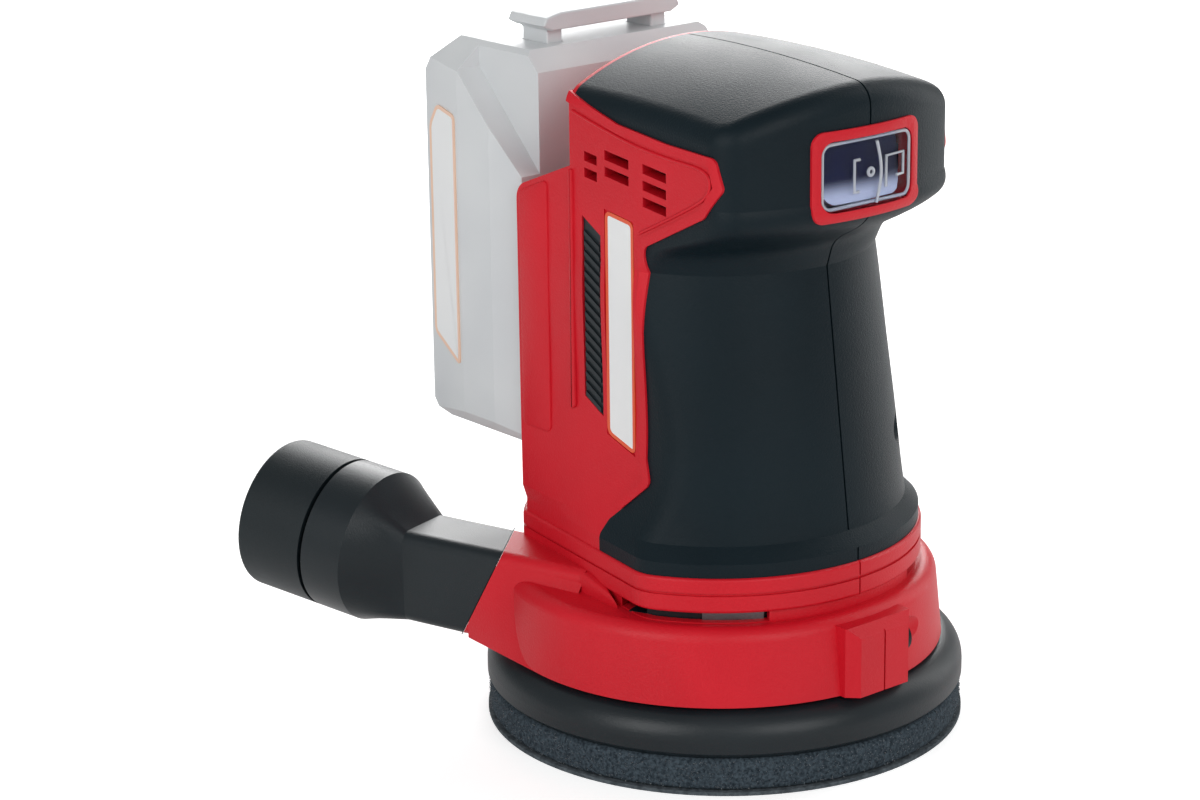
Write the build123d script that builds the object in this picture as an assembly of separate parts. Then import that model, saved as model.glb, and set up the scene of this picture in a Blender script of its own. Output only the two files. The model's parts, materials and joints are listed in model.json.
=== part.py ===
"""Cordless random orbital sander: split housing with soft grip, motor and eccentric drive,
dust outlet with hose adapter, rocker switch and slide-on battery pack.

The motor axis is Z and the sanding face lies at Z = 0. The switch end faces -Y, the battery
end faces +Y and the dust outlet leaves on the -X side. All sizes are millimetres.
"""
from build123d import *
import os
from math import atan2, cos, degrees, hypot, radians, sin, sqrt

os.makedirs("parts", exist_ok=True)

# Clearances
RUN = 0.05            # radial play of a shaft in its bearing
SLIDE = 0.3           # play of a sliding or press-button fit
AIR = 0.5             # least gap round anything that turns

# Sanding pad
PAD_RADIUS = 62.5
HOOK_THICK = 1.0
FOAM_THICK = 8.5
BACKING_THICK = 11.5
BACKING_ROUND = 7.0
BACKING_CHAMFER = 1.5
DUST_HOLES = 8
DUST_HOLE_RADIUS = 5.0
DUST_HOLE_CIRCLE = 38.0
PAD_SCREWS = 4
PAD_SCREW_CIRCLE = 15.0
SCREW_RADIUS = 2.0
SCREW_HEAD_RADIUS = 3.9
SCREW_HEAD_HEIGHT = 2.6
CROSS_WIDTH = 1.2
CROSS_LENGTH = 5.0
CROSS_DEPTH = 1.2
SPINDLE_RADIUS = 6.0
SPINDLE_FLANGE_RADIUS = 21.0
SPINDLE_FLANGE_THICK = 4.0
SPINDLE_COLLAR = 2.0
CLIP_GROOVE = 1.0
CLIP_SLOT = 5.0
ORBIT_OFFSET = 1.5    # half the orbit diameter
PAD_GAP = 0.9         # between the pad and the skirt's edge

# Skirt, exhaust slot, ring and the black foot flange of the grip
WALL = 2.4
SKIRT_RADIUS = 58.0
SKIRT_LEAN = 1.6
SKIRT_HEIGHT = 19.6
SHOULDER = 3.2
DECK_THICK = 5.0
SLOT_HEIGHT = 3.0
SLOT_EDGE = 0.2
SLOT_START = 28.0     # degrees from the front
SLOT_END = 74.0
RING_RADIUS = 52.3
RING_HEIGHT = 9.0
RING_HALF = 43.4
RING_TAPER = 9.1      # degrees that the ring's flat sides close towards the rear
RING_CORNER = 10.0
RING_GROOVE = 0.8
RING_GROOVE_DEPTH = 0.56
FLANGE_HEIGHT = 3.5
FLANGE_SLOPE = 3.5
FLANGE_STEP = 0.8

# Grip column and head
HALF_WIDTH = 38.0
REAR_Y = 34.4
HEAD_REAR = 12.8
GRIP_RADIUS = 48.0
GRIP_HEIGHT = 66.5
GRIP_CORNER = 12.0
FOOT_FLARE = 3.5
FOOT_TAPER = 6.0
FOOT_BULGE = 2.0
FLARE_SHARE = 0.3     # share of the column's height in which the foot flares
GRIP_STATIONS = (0.0, FLARE_SHARE, 0.65, 1.0)
HEAD_SWELL = ((0.0, 0.0), (0.3, 0.16), (0.55, 0.67), (0.75, 0.98), (1.0, 1.0))
NECK_RADIUS = 39.5
CHIN_HEIGHT = 20.0
HEAD_REACH = 54.0
HEAD_FRONT_RADIUS = 73.0
HEAD_CORNER = 9.0
HEAD_HEIGHT = 30.5
CROWN_RADIUS = 80.0
CROWN_FALL_RADIUS = 400.0
CROWN_PEAK_Y = 0.0
HEAD_ROUND = 6.0
ROOF_DROP = 28.3
ROOF_FALL = 8.8
ROOF_ROUND = 5.0
GRIP_SKIN = 1.8
RIM_WIDTH = 2.4
RIM_PROUD = 0.6
REAR_RIM = 1.3
RIM_FOOT = 4.0        # the raised border ends this far below the dock floor
PANEL_ROUND = 2.2

# Switch window
WINDOW_HALF = 17.6
WINDOW_HEIGHT = 22.4
WINDOW_DROP = 24.3    # window middle below the head's top
WINDOW_ROUND = 3.5
WINDOW_REACH = 25.0
FRAME_WIDTH = 2.5
BOOT_THICK = 1.1
ROCKER_TILT = 5.0     # degrees each side of level
PIVOT_RADIUS = 1.5
PIVOT_SET = 9.0
ROCKER_HALF = 12.5
ROCKER_HEIGHT = 16.0
ROCKER_GAP = 1.5
EAR_THICK = 2.6
EAR_HALF = 3.2
EAR_PLAY = 0.7
EAR_ROOT = 5.0
ROCKER_SET = 2.5      # pivot behind the rocker's plate, and before the switch's face
PIVOT_HUB = 3.2
SWITCH_WIDTH = 26.0
SWITCH_DEPTH = 15.0
SWITCH_RISE = 9.0

# Motor
SHAFT_RADIUS = 4.0
TAIL_RADIUS = 3.0
TAIL_STEP = 3.0
CAN_RADIUS = 25.0
CAN_HEIGHT = 44.0
CAN_WALL = 1.6
MAGNET_THICK = 6.0
MAGNET_ARC = 130.0
CAN_VENTS = 6
CAN_VENT = (6.0, 4.0)
CAN_VENT_SET = 8.0
ROTOR_RADIUS = 16.0
ROTOR_HEIGHT = 32.0
ROTOR_RISE = 9.5
ROTOR_SLOTS = 10
ROTOR_SLOT = (8.0, 2.0)
ROTOR_SLOT_EYE = 2.6
ROTOR_SLOT_SET = 3.5
WINDING_SINK = 0.8
WINDING_END = 5.0
WINDING_ROUND = 1.8
COMMUTATOR_RADIUS = 9.0
COMMUTATOR_HEIGHT = 10.0
COMMUTATOR_CUT = (1.6, 0.6)
BELL_HEIGHT = 18.0
BELL_WALL = 3.0
BELL_ROOF = 2.5
BELL_VENTS = 4
BELL_VENT = (5.0, 8.0)
BELL_VENT_SET = 7.0
BEARING_RADIUS = 11.0
BEARING_HEIGHT = 7.0
TAIL_BEARING_RADIUS = 9.5
TAIL_BEARING_HEIGHT = 6.0
BRUSH_WIDTH = 6.0
BRUSH_HEIGHT = 7.5
BRUSH_RISE = 1.5
BRUSH_WEAR = 8.0
HOLDER_WALL = 1.0
SPRING_PLAY = 0.6
SPRING_FOLD = 0.8
FAN_RADIUS = 34.0
FAN_BLADES = 14
FAN_AIR = 2.0
FAN_DISC = 1.6
FAN_RISE = 1.2        # blades above the deck
FAN_DROP = 4.5        # disc below the motor can
FAN_BLADE_THICK = 1.4
FAN_SWEEP = 18.0
BLADE_ROOT = 0.5        # depth that a blade sinks into its disc
FAN_HUB_WALL = 4.5
FAN_HUB_RISE = (4.0, 2.0)
PLATE_RADIUS = FAN_RADIUS + FAN_AIR
PLATE_THICK = 3.0
PLATE_RIBS = 8
PLATE_RIB = (1.8, 1.2)

# Eccentric drive
HUB_RADIUS = 22.0
ECC_BEARING_RADIUS = 14.0
ECC_BEARING_HEIGHT = 8.0
IMPELLER_RADIUS = 48.0
IMPELLER_BLADES = 10
IMPELLER_DISC = 2.0
IMPELLER_DROP = 2.6   # disc below the deck
IMPELLER_BLADE_HEIGHT = 9.5
IMPELLER_BLADE_THICK = 1.6
IMPELLER_SWEEP = 14.0
HUB_NECK_WALL = 3.5
HUB_GAP = 2.6
HUB_LEDGE = 1.4
HUB_ROOF = 1.2
NECK_OVER = 0.8       # hub's neck above the bearing plate
CLIP_ROOM = 4.0
BRAKE_GAP = 0.4
BRAKE_HEIGHT = 4.5
COUNTERWEIGHT_RADIUS = 33.0
COUNTERWEIGHT_ARC = 110.0
COUNTERWEIGHT_THICK = 4.9

# Dust duct, hose adapter and rubber sleeve
DUCT_X = -46.4
DUCT_MOUTH_Y = 38.9
DUCT_TILT = 17.0      # degrees that the duct turns outwards
DUCT_WIDTH = 19.5
DUCT_HEIGHT = 25.0
DUCT_WALL = 2.2
DUCT_ROUND = 3.0
DUCT_ROUND_LEAST = 2.0
DUCT_RUN = 36.0
PASSAGE_DROP = 0.6    # roof of the dust passage below the deck
MOUTH_SLANT = 26.0    # degrees that the mouth leans back
MOUTH_YAW = 25.0      # degrees that the mouth turns towards the tool
SPIGOT_LENGTH = 12.0
FAIRING_START = 2.0   # y on the skirt where the socket's lower wall leaves it
NECK_LENGTH = 20.6
CONE_LENGTH = 13.4
BARREL_RISE = 3.5     # barrel middle above the duct's
BARREL_TILT = 6.4     # degrees that the barrel points up
BARREL_LENGTH = 12.4
SLEEVE_GAP = 1.2
SLEEVE_LENGTH = 20.5
HOSE_RADIUS = 17.5
HOSE_STOP = 2.0
SLEEVE_RADIUS = 20.4
SLEEVE_ROUND = 1.2
TUBE_LENGTH = 6.0
TUBE_STEP = 0.4

# Battery dock and pack
DOCK_DEPTH = 5.8
DOCK_HALF = 29.0
DOCK_LIP = 2.5
LIP_THICK = 2.0
DOCK_RISE = 9.2       # dock floor above the grip's foot
PACK_HALF = 37.5
PACK_DEPTH = 40.7
PACK_HEIGHT = 103.0
PACK_WALL = 2.2
PACK_SPLIT = 24.3
PACK_BAND = 11.5
PACK_FACET = 1.5
PACK_CHAMFER = 4.5
PACK_CHEEK_DROP = 31.0
PACK_SCREW_X = 24.0
PACK_SCREW_BOSS = 2.9
PACK_CHEEK = 30.0
PACK_CHEEK_TOP = 6.5
PACK_REAR_FACET = 2.4
PACK_SHOULDER = (9.0, 7.0)
PACK_BROW = 5.0
PACK_SCREW_RISE = 1.2
PACK_SCREW_DROP = 2.6
PACK_SCREW_RADIUS = 1.5
PACK_SCREW_HEAD = (2.9, 2.0)
PACK_SCREW_SINK = 6.0
PACK_SCREW_REACH = 12.0
RAIL_CHAMFER = 2.5
BLADE_SLOT_ROOM = 1.5
CELL_RADIUS = 9.1
CELL_LENGTH = 65.0
CELLS = 5
CELL_PITCH = 17.2
CELL_STAGGER = 10.2
CELL_TIP = 0.8
CELL_TIP_RADIUS = 3.0
CELL_RISE = 4.6       # lowest cell above the case floor
CELL_REAR_PLAY = 0.8
HOLDER_SET = (9.0, 5.0)   # holder plate, from the cells' ends
HOLDER_DROP = 9.0
STRAP_THICK = 0.3
BATTERY_BOARD_HALF = 27.0
BATTERY_BOARD_REACH = (2.0, 8.0)
CLIP_LEAF = 0.5
BOARD_CLEAR = 3.5     # pack board behind the blades' tips
RAIL_HEIGHT = 66.0
BLADE_THICK = 1.0
BLADE_REACH = 10.0
BLADE_HEIGHT = 10.0
BLADE_SPACING = 9.5
BUTTON_HALF = 23.0
BUTTON_DEPTH = 15.0
BUTTON_THICK = 4.5
BUTTON_TRAVEL = 3.0
BUTTON_GAP = 3.6
BUTTON_LEG = 5.0
BUTTON_LEG_X = 17.5
LEAF_THICK = 0.8
BUTTON_SET = 13.5
BUTTON_EDGE = ((3.0, 0.0), (0.0, 1.5), (1.0, 3.5), (6.0, BUTTON_THICK))
CLIP_HALF = 1.6

# Small fixed features of the shells
SEAM_WIDTH = 0.5
SEAM_DEPTH = 0.5
RING_ROUND = 0.8
NECK_STEP = 1.3
BLOCK_HALF = 11.0
BLOCK_PROUD = 3.4
BLOCK_DEPTH = 10.6
BLOCK_DROP = 1.5
BLOCK_CHAMFER = 2.8
BLOCK_BEVEL = 2.5
VENT_COLUMNS = ((2.4, 7.2, 4.0, 2), (-9.6, -0.6, 5.0, 2), (-23.4, -14.8, 4.0, 3))
VENT_PITCH = 4.1
VENT_HEIGHT = 2.4
VENT_SLOPE = 0.12
INSERT_FRONT = 1.3
INSERT_WIDTH = 7.1
INSERT_LEAN = 4.0
INSERT_DEPTH = 1.5
INSERT_RISE = 17.0
INSERT_DROP = 15.8
PLATE_FRONT = -11.2
PLATE_WIDTH = 11.0
PLATE_SINK = 0.4
PLATE_RISE = 9.4
PLATE_DROP = 10.2
PLATE_LEAN = (3.5, 1.5)
SADDLE_THICK = 3.0
SADDLE_DROP = 7.0
SADDLE_GAP = 10.0
SHELF_THICK = 2.0
SHELF_DROP = 2.5
BOARD_FRONT = -22.0
BOARD_REAR = 4.0
BOARD_HALF = 22.0
BOARD_THICK = 1.6
BOARD_POST = 2.2
BOARD_POST_X = 12.0
BOARD_POST_SET = 4.0
BOARD_RISE = 4.0
LEAD_RADIUS = 1.2
LEAD_X = 19.0
LEAD_Y = 21.5
LEAD_RISE_Y = 6.4
LEAD_BEND = 2.4
LEAD_START = 7.0      # lead above the terminal block's foot
LEAD_LOOP = 5.0       # lead above the board
LEAD_EDGE = 4.0       # lead before the board's rear edge
TERMINAL_BACK = 0.6
SINK_BASE = (-18.0, -6.0, 2.0, 14.2, 1.5)   # heat sink x0, x1, y0, y1, thickness
SINK_FINS = 4
SINK_FIN = (1.2, 6.5)
CHIP = (-4.0, 5.0, 3.0, 11.0, 1.8)          # x0, x1, y0, y1, thickness
CAPACITOR = (12.0, 9.0, 4.5, 11.0)          # x, y, radius, height
MOTOR_LEAD_X = 18.0
TERMINAL_HALF = 20.5
TERMINAL_RISE = 11.0
TERMINAL_HEIGHT = 14.0
SCREW_SHANK = 18.0
SCREW_SEAT = 6.0
SCREW_BOSS_WALL = 1.6
FOAM_STEP = 0.6
INSERT_PITCH = 2.6
INSERT_RIB = 0.5
INSERT_EDGE = 0.6
CLIP_THICK = 1.0
BOSS_RADIUS = 14.5

# Levels up the motor axis, worked out from the sizes above
hook_top = HOOK_THICK
foam_top = hook_top + FOAM_THICK
pad_top = foam_top + BACKING_THICK
skirt_low = pad_top + PAD_GAP
skirt_high = skirt_low + SKIRT_HEIGHT
deck_low = skirt_high - DECK_THICK
slot_high = skirt_high + SLOT_HEIGHT
ring_high = slot_high + RING_HEIGHT
flange_high = ring_high + FLANGE_HEIGHT
grip_low = flange_high + FLANGE_SLOPE
neck_level = grip_low + GRIP_HEIGHT
chin_high = neck_level + CHIN_HEIGHT
head_top = chin_high + HEAD_HEIGHT
roof_high = head_top - ROOF_DROP
window_z = head_top - WINDOW_DROP
dock_floor = grip_low + DOCK_RISE
dock_wall = REAR_Y - DOCK_DEPTH
shell = GRIP_SKIN + WALL
chamber_radius = SKIRT_RADIUS - SKIRT_LEAN - WALL
plate_low = skirt_high - PLATE_THICK - AIR
can_low = grip_low
duct_z = skirt_low + DUCT_HEIGHT / 2
passage_top = deck_low - PASSAGE_DROP
shelf_top = window_z - WINDOW_HEIGHT / 2 - SHELF_DROP
board_low = shelf_top + BOARD_RISE
terminal_low = dock_floor + TERMINAL_RISE
terminal_high = terminal_low + TERMINAL_HEIGHT
hub_low = pad_top + HUB_GAP
bearing_low = hub_low + HUB_LEDGE
clip_low = bearing_low + ECC_BEARING_HEIGHT + SLIDE
spindle_top = clip_low + CLIP_THICK + 2 * SLIDE
hub_roof = spindle_top + AIR
hub_high = hub_roof + HUB_ROOF
shaft_low = hub_high
hub_neck = SHAFT_RADIUS + HUB_NECK_WALL
neck_high = plate_low + PLATE_THICK + NECK_OVER
lower_bearing_low = neck_high + AIR
impeller_low = deck_low - IMPELLER_DROP
fan_low = skirt_high + FAN_RISE
fan_disc = can_low - FAN_DROP
can_high = can_low + CAN_HEIGHT
bell_high = can_high + BELL_HEIGHT
rotor_low = can_low + ROTOR_RISE
rotor_high = rotor_low + ROTOR_HEIGHT
commutator_low = rotor_high + WINDING_END + 1
tail_low = bell_high - TAIL_STEP
tail_high = bell_high + TAIL_BEARING_HEIGHT
holder_high = commutator_low + BRUSH_RISE + BRUSH_HEIGHT + HOLDER_WALL
pack_front = REAR_Y + SLIDE
pack_rear = pack_front + PACK_DEPTH
pack_low = dock_floor + SLIDE
pack_top = pack_low + PACK_HEIGHT
pack_split = pack_front + PACK_SPLIT
rail_top = pack_low + RAIL_HEIGHT
blade_low = terminal_low + (TERMINAL_HEIGHT - BLADE_HEIGHT) / 2
blade_top = blade_low + BLADE_HEIGHT
board_y = dock_wall + BLADE_REACH + BOARD_CLEAR
button_y = pack_front + BUTTON_SET
board_top = board_low + BOARD_THICK
pivot_y = -HEAD_REACH + PIVOT_SET
ear_x = ROCKER_HALF + EAR_PLAY
FAR = 200.0           # reach of cutting tools

# Clamping screws along X: (y, z, head seat x, tip x)
SCREWS = (
    (-GRIP_RADIUS + 14, grip_low + 17, SCREW_SEAT, SCREW_SEAT - SCREW_SHANK),
    (-NECK_RADIUS + 15, neck_level + 4, SCREW_SEAT, SCREW_SEAT - SCREW_SHANK),
    (HEAD_REAR - 5.3, head_top - 18, SCREW_SEAT, SCREW_SEAT - SCREW_SHANK),
    (REAR_Y + 9, ring_high - 4, SCREW_SEAT, SCREW_SEAT - SCREW_SHANK),
    (-SKIRT_RADIUS + 0.7, skirt_low + 11, SCREW_SEAT + 1, SCREW_SEAT + 3 - SCREW_SHANK),
)


def ring_of(radius, bore, low, high):
    """Plain ring round Z between two levels."""
    body = Pos(0, 0, low) * extrude(Circle(radius) - Circle(bore), high - low)
    return body


def disc(radius, low, high):
    """Plain disc round Z between two levels."""
    return Pos(0, 0, low) * extrude(Circle(radius), high - low)


def slab(x0, x1, y0, y1, z0, z1):
    """Box between two corners."""
    middle = Pos((x0 + x1) / 2, (y0 + y1) / 2, (z0 + z1) / 2)
    return middle * Box(x1 - x0, y1 - y0, z1 - z0)


def side_prism(points, x0, x1):
    """Outline given as (y, z) points, extruded along X from x0 to x1."""
    outline = make_face(Polyline(*points, close=True))
    return extrude(Plane.YZ.offset(x0) * outline, x1 - x0)


def front_prism(points, y0, y1):
    """Outline given as (x, z) points, extruded along Y from y0 to y1."""
    outline = make_face(Polyline(*points, close=True))
    return extrude(Plane.XZ.offset(-y0) * outline, -(y1 - y0))


def plan_face(z, radius, reach, half, corner, rear, taper=0.0, bulge=0.0):
    """Plan section of the body: arc at the front, straight sides, straight or round rear."""
    turn = radians(taper)
    out = Vector(cos(turn), sin(turn))
    along = Vector(-sin(turn), cos(turn))
    middle = Vector(0, radius - reach)
    offset = half * cos(turn)
    across = offset - corner - middle.Y * sin(turn)
    pivot = middle + out * across - along * sqrt((radius - corner) ** 2 - across ** 2)
    bearing = (pivot - middle).normalized()
    front = middle + bearing * radius
    blend = pivot + (out + bearing).normalized() * corner
    side = pivot + out * corner
    back = Vector((offset - sin(turn) * rear) / cos(turn), rear)

    def mirrored(point):
        return Vector(-point.X, point.Y)

    if bulge:
        rear_edge = ThreePointArc(back, (0, rear + bulge), mirrored(back))
    else:
        rear_edge = Line(back, mirrored(back))
    edges = [
        ThreePointArc(mirrored(front), (0, -reach), front),
        ThreePointArc(front, blend, side),
        Line(side, back),
        rear_edge,
        Line(mirrored(back), mirrored(side)),
        ThreePointArc(mirrored(side), mirrored(blend), mirrored(front)),
    ]
    return Pos(0, 0, z) * make_face(edges)


def ring_face(z, inset=0.0):
    """Plan of the ring under the grip: round front and rear, flat closing sides."""
    radius = RING_RADIUS - inset
    rear = REAR_Y - inset
    return plan_face(z, radius, radius, RING_HALF - inset, RING_CORNER - inset / 2, rear,
                     RING_TAPER, radius - rear)


def grip_section(share, inset):
    """Section of the grip column at a share of its height, 0 at the foot and 1 at the neck."""
    radius = GRIP_RADIUS + (NECK_RADIUS - GRIP_RADIUS) * share - inset
    flare = max(0.0, 1 - share / FLARE_SHARE)
    return plan_face(grip_low + GRIP_HEIGHT * share, radius, radius,
                     HALF_WIDTH + FOOT_FLARE * flare - inset, GRIP_CORNER - inset / 2,
                     REAR_Y - inset, FOOT_TAPER * flare)


def head_section(z, swell, inset):
    """Section of the head, from the neck's round (swell 0) to the full head plan (swell 1)."""
    radius = NECK_RADIUS + (HEAD_FRONT_RADIUS - NECK_RADIUS) * swell - inset
    reach = NECK_RADIUS + (HEAD_REACH - NECK_RADIUS) * swell - inset
    corner = GRIP_CORNER + (HEAD_CORNER - GRIP_CORNER) * swell - inset / 2
    return plan_face(z, radius, reach, HALF_WIDTH - inset, corner, REAR_Y - inset)


def crown(inset):
    """Barrel whose top is the head's crowned lid, falling gently towards the front."""
    top = head_top - inset
    level = head_top - CROWN_RADIUS
    fall = CROWN_FALL_RADIUS - inset
    reach = HEAD_REACH + HEAD_REAR
    drop = fall - sqrt(fall ** 2 - reach ** 2)
    arc = ThreePointArc((CROWN_PEAK_Y - reach, top - drop), (CROWN_PEAK_Y, top),
                        (CROWN_PEAK_Y + reach, top - drop))
    profile = [arc, Polyline(arc @ 1, ((arc @ 1).X, level), ((arc @ 0).X, level), arc @ 0)]
    return revolve(Plane.YZ * make_face(profile), Axis((0, 0, level), (0, 1, 0)))


def roof_cut(inset):
    """Space behind the head and over the sloping roof of the rear block."""
    slope = ROOF_FALL / (REAR_Y - HEAD_REAR)
    start = HEAD_REAR - inset

    def height(y):
        return roof_high - slope * (y - HEAD_REAR) - inset * sqrt(1 + slope ** 2)

    points = [(start, height(start)), (FAR, height(FAR)), (FAR, FAR + head_top),
              (start, FAR + head_top)]
    return side_prism(points, -FAR, FAR)


def body_form(inset=0.0):
    """Grip column, head and rear block as one smooth form, its skin moved in by the inset."""
    column = loft([grip_section(share, inset) for share in GRIP_STATIONS])
    head = loft([head_section(neck_level + CHIN_HEIGHT * rise, swell, inset)
                 for rise, swell in HEAD_SWELL])
    lid = extrude(head_section(chin_high, 1.0, inset), FAR) & crown(inset)
    form = column + head + lid - roof_cut(inset)
    top = form.faces().sort_by(Axis.Z)[-1]
    rim = [edge for edge in top.edges() if edge.center().Y < HEAD_REAR - inset - 0.5]
    return fillet(rim, HEAD_ROUND - inset / 3)


def flange_form(inset=0.0):
    """Foot of the grip: a lip on the ring that slopes in to the column."""
    step = FLANGE_STEP + inset
    lip = extrude(ring_face(ring_high, step), FLANGE_HEIGHT)
    slope = loft([ring_face(flange_high, step), plan_face(
        grip_low, GRIP_RADIUS - inset, GRIP_RADIUS - inset, HALF_WIDTH + FOOT_FLARE - inset,
        GRIP_CORNER - inset / 2, REAR_Y - inset, FOOT_TAPER, FOOT_BULGE)], ruled=True)
    return lip + slope


def panel_outline():
    """Side view of the red panel behind the grip, as (y, z) corner points."""
    return [
        (HEAD_REAR + 1, roof_high + 18.8),
        (-6.0, roof_high + 13.4),
        (-24.0, roof_high + 11.4),
        (-41.0, roof_high + 10.6),
        (-43.0, roof_high + 3.0),
        (-37.5, roof_high - 4.5),
        (-15.8, roof_high - 15.5),
        (-15.0, neck_level - 15.0),
        (-15.8, dock_floor + 10.0),
        (-18.0, dock_floor + 4.0),
        (-4.8, grip_low + 1.5),
        (-2.7, flange_high + 1.0),
        (-2.7, ring_high),
        (FAR, ring_high),
        (FAR, roof_high + 18.8),
    ]


def panel_face(grow=0.0):
    """The panel's outline as a face, with its corners rounded."""
    outline = make_face(Polyline(*panel_outline(), close=True))
    near = [corner for corner in outline.vertices() if corner.X < HEAD_REAR]
    outline = fillet([c for c in near if c.Y > ring_high + 1], PANEL_ROUND)
    if grow:
        outline = offset(outline, grow, kind=Kind.INTERSECTION)
    return outline


def across(face):
    """A (y, z) face extruded right across the tool."""
    return extrude(Plane.YZ.offset(-FAR) * face, 2 * FAR)


def grip_mask():
    """Everything in front of the red panel and above the ring, where the soft grip lies."""
    whole = slab(-FAR, FAR, -FAR, HEAD_REAR - REAR_RIM, ring_high, head_top + FAR)
    return whole - across(panel_face())


def skirt_form():
    """Leaning skirt round the pad, closed by a rounded shoulder and a deck."""
    waist = SKIRT_RADIUS - SKIRT_LEAN
    shoulder = skirt_high - SHOULDER
    inner = waist - 1.4 * SHOULDER
    bend = (waist - 0.35 * SHOULDER, skirt_high - 0.3 * SHOULDER)
    profile = [
        Polyline((inner, skirt_high), (0, skirt_high), (0, skirt_low),
                 (SKIRT_RADIUS, skirt_low), (waist, shoulder)),
        ThreePointArc((waist, shoulder), bend, (inner, skirt_high)),
    ]
    return revolve(Plane.XZ * make_face(profile), Axis.Z)


def screw_block():
    """Block on the skirt's front seam that takes a clamping screw."""
    front = -SKIRT_RADIUS - BLOCK_PROUD
    block = slab(-BLOCK_HALF, BLOCK_HALF, front, front + BLOCK_DEPTH, skirt_low,
                 skirt_high - BLOCK_DROP)
    rims = block.edges().filter_by(Axis.Z).group_by(Axis.Y)[0]
    block = chamfer(rims, BLOCK_CHAMFER)
    return chamfer(block.faces().sort_by(Axis.Z)[-1].edges().sort_by(Axis.Y)[0], BLOCK_BEVEL)


def ring_form():
    """Ring under the grip with its groove, standing on a recessed neck."""
    neck = extrude(ring_face(skirt_high - 1, NECK_STEP), SLOT_HEIGHT + 1)
    ring = extrude(ring_face(slot_high), RING_HEIGHT)
    ring = fillet(ring.edges().group_by(Axis.Z)[0] + ring.edges().group_by(Axis.Z)[-1], RING_ROUND)
    middle = slot_high + RING_HEIGHT / 2
    band = extrude(ring_face(middle, -1) - ring_face(middle, RING_GROOVE_DEPTH), RING_GROOVE)
    return neck + ring - band


def seam_line(radius, low, high):
    """Fine groove that marks the joint of the two shells on the front, at one radius."""
    return slab(-SEAM_WIDTH / 2, SEAM_WIDTH / 2, -radius - 1, -radius + SEAM_DEPTH, low, high)


def slot_cutters():
    """Exhaust slots through the neck, one on each side of the front."""
    sweep = SLOT_END - SLOT_START
    start = -90 - SLOT_END
    ring = ring_of(SKIRT_RADIUS, PLATE_RADIUS + 1, skirt_high + SLOT_EDGE, slot_high - SLOT_EDGE)
    wedge = make_face([
        Line((0, 0), (FAR * cos(radians(start)), FAR * sin(radians(start)))),
        CenterArc((0, 0), FAR, start, sweep),
        Line((FAR * cos(radians(start + sweep)), FAR * sin(radians(start + sweep))), (0, 0))])
    cut = ring & extrude(wedge, FAR)
    return cut + mirror(cut, Plane.YZ)


def in_duct(shape):
    """Place a shape drawn in the duct's own frame: mouth at y = 0, y along the outlet."""
    return Pos(DUCT_X, DUCT_MOUTH_Y, 0) * Rot(0, 0, DUCT_TILT) * shape


def duct_section(y, shrink=0.0):
    """Rounded rectangle across the duct."""
    section = RectangleRounded(DUCT_WIDTH - 2 * shrink, DUCT_HEIGHT - 2 * shrink,
                               max(DUCT_ROUND_LEAST, DUCT_ROUND - shrink))
    return Pos(0, y, duct_z) * (Plane.XZ * section)


def mouth_side(gap, far):
    """Everything past the slanted mouth plane, or before it when far is negative."""
    block = Pos(0, far / 2, 0) * Box(2 * FAR, abs(far), 2 * FAR)
    return Pos(0, gap, duct_z) * Rot(0, 0, MOUTH_YAW) * Rot(MOUTH_SLANT, 0, 0) * block


def socket_fairing():
    """Wall that leads the round skirt into the socket, wide at the foot and slim at the top."""
    edge = sqrt(SKIRT_RADIUS ** 2 - FAIRING_START ** 2)
    turn = radians(DUCT_TILT)
    away = Vector(-edge - DUCT_X, FAIRING_START - DUCT_MOUTH_Y)
    foot = (away.X * cos(turn) + away.Y * sin(turn), away.Y * cos(turn) - away.X * sin(turn))
    near, root = -DUCT_WIDTH / 2, (0, -DUCT_RUN / 2)
    low = make_face(Polyline(foot, (near, 0), root, close=True))
    high = make_face(Polyline((near, -DUCT_RUN), (near, 0), root, close=True))
    top = duct_z + DUCT_HEIGHT / 2 - DUCT_ROUND
    return loft([Pos(0, 0, skirt_low) * low, Pos(0, 0, top) * high], ruled=True)


def duct_socket():
    """Socket that leaves the skirt along the duct, cut off by the slanted mouth."""
    tunnel = extrude(duct_section(DUCT_WIDTH), DUCT_RUN + DUCT_WIDTH)
    return in_duct(tunnel + socket_fairing() - mouth_side(0, FAR))


def duct_passage():
    """Way from the dust chamber into the socket, low enough to pass under the deck."""
    low = extrude(duct_section(DUCT_WIDTH, DUCT_WALL), DUCT_RUN + DUCT_WIDTH)
    return in_duct(low & slab(-FAR, FAR, -FAR, FAR, 0, passage_top))


def dock_cut():
    """Channel in the rear face that takes the pack's rail, with a lip along each side."""
    deep = slab(-DOCK_HALF, DOCK_HALF, dock_wall, REAR_Y - LIP_THICK, dock_floor, FAR + head_top)
    mouth = DOCK_HALF - DOCK_LIP
    return deep + slab(-mouth, mouth, dock_wall, FAR, dock_floor, FAR + head_top)


def window(half, height):
    """Rounded window outline cut straight back from the front."""
    outline = RectangleRounded(2 * half, height, WINDOW_ROUND)
    return Pos(0, -FAR, window_z) * extrude(Plane.XZ * outline, -(FAR - WINDOW_REACH))


def vent_slots():
    """Three columns of louvre slots through both side panels."""
    slots = []
    for start, end, top, count in VENT_COLUMNS:
        for row in range(count):
            z = roof_high + top - row * VENT_PITCH
            rise = VENT_SLOPE * (end - start)
            points = [(start, z), (start, z - VENT_HEIGHT), (end, z - VENT_HEIGHT + rise),
                      (end, z + rise)]
            inside = HALF_WIDTH - shell - 2
            slots.append(side_prism(points, inside, FAR))
            slots.append(side_prism(points, -FAR, -inside))
    return Part() + slots


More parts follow.
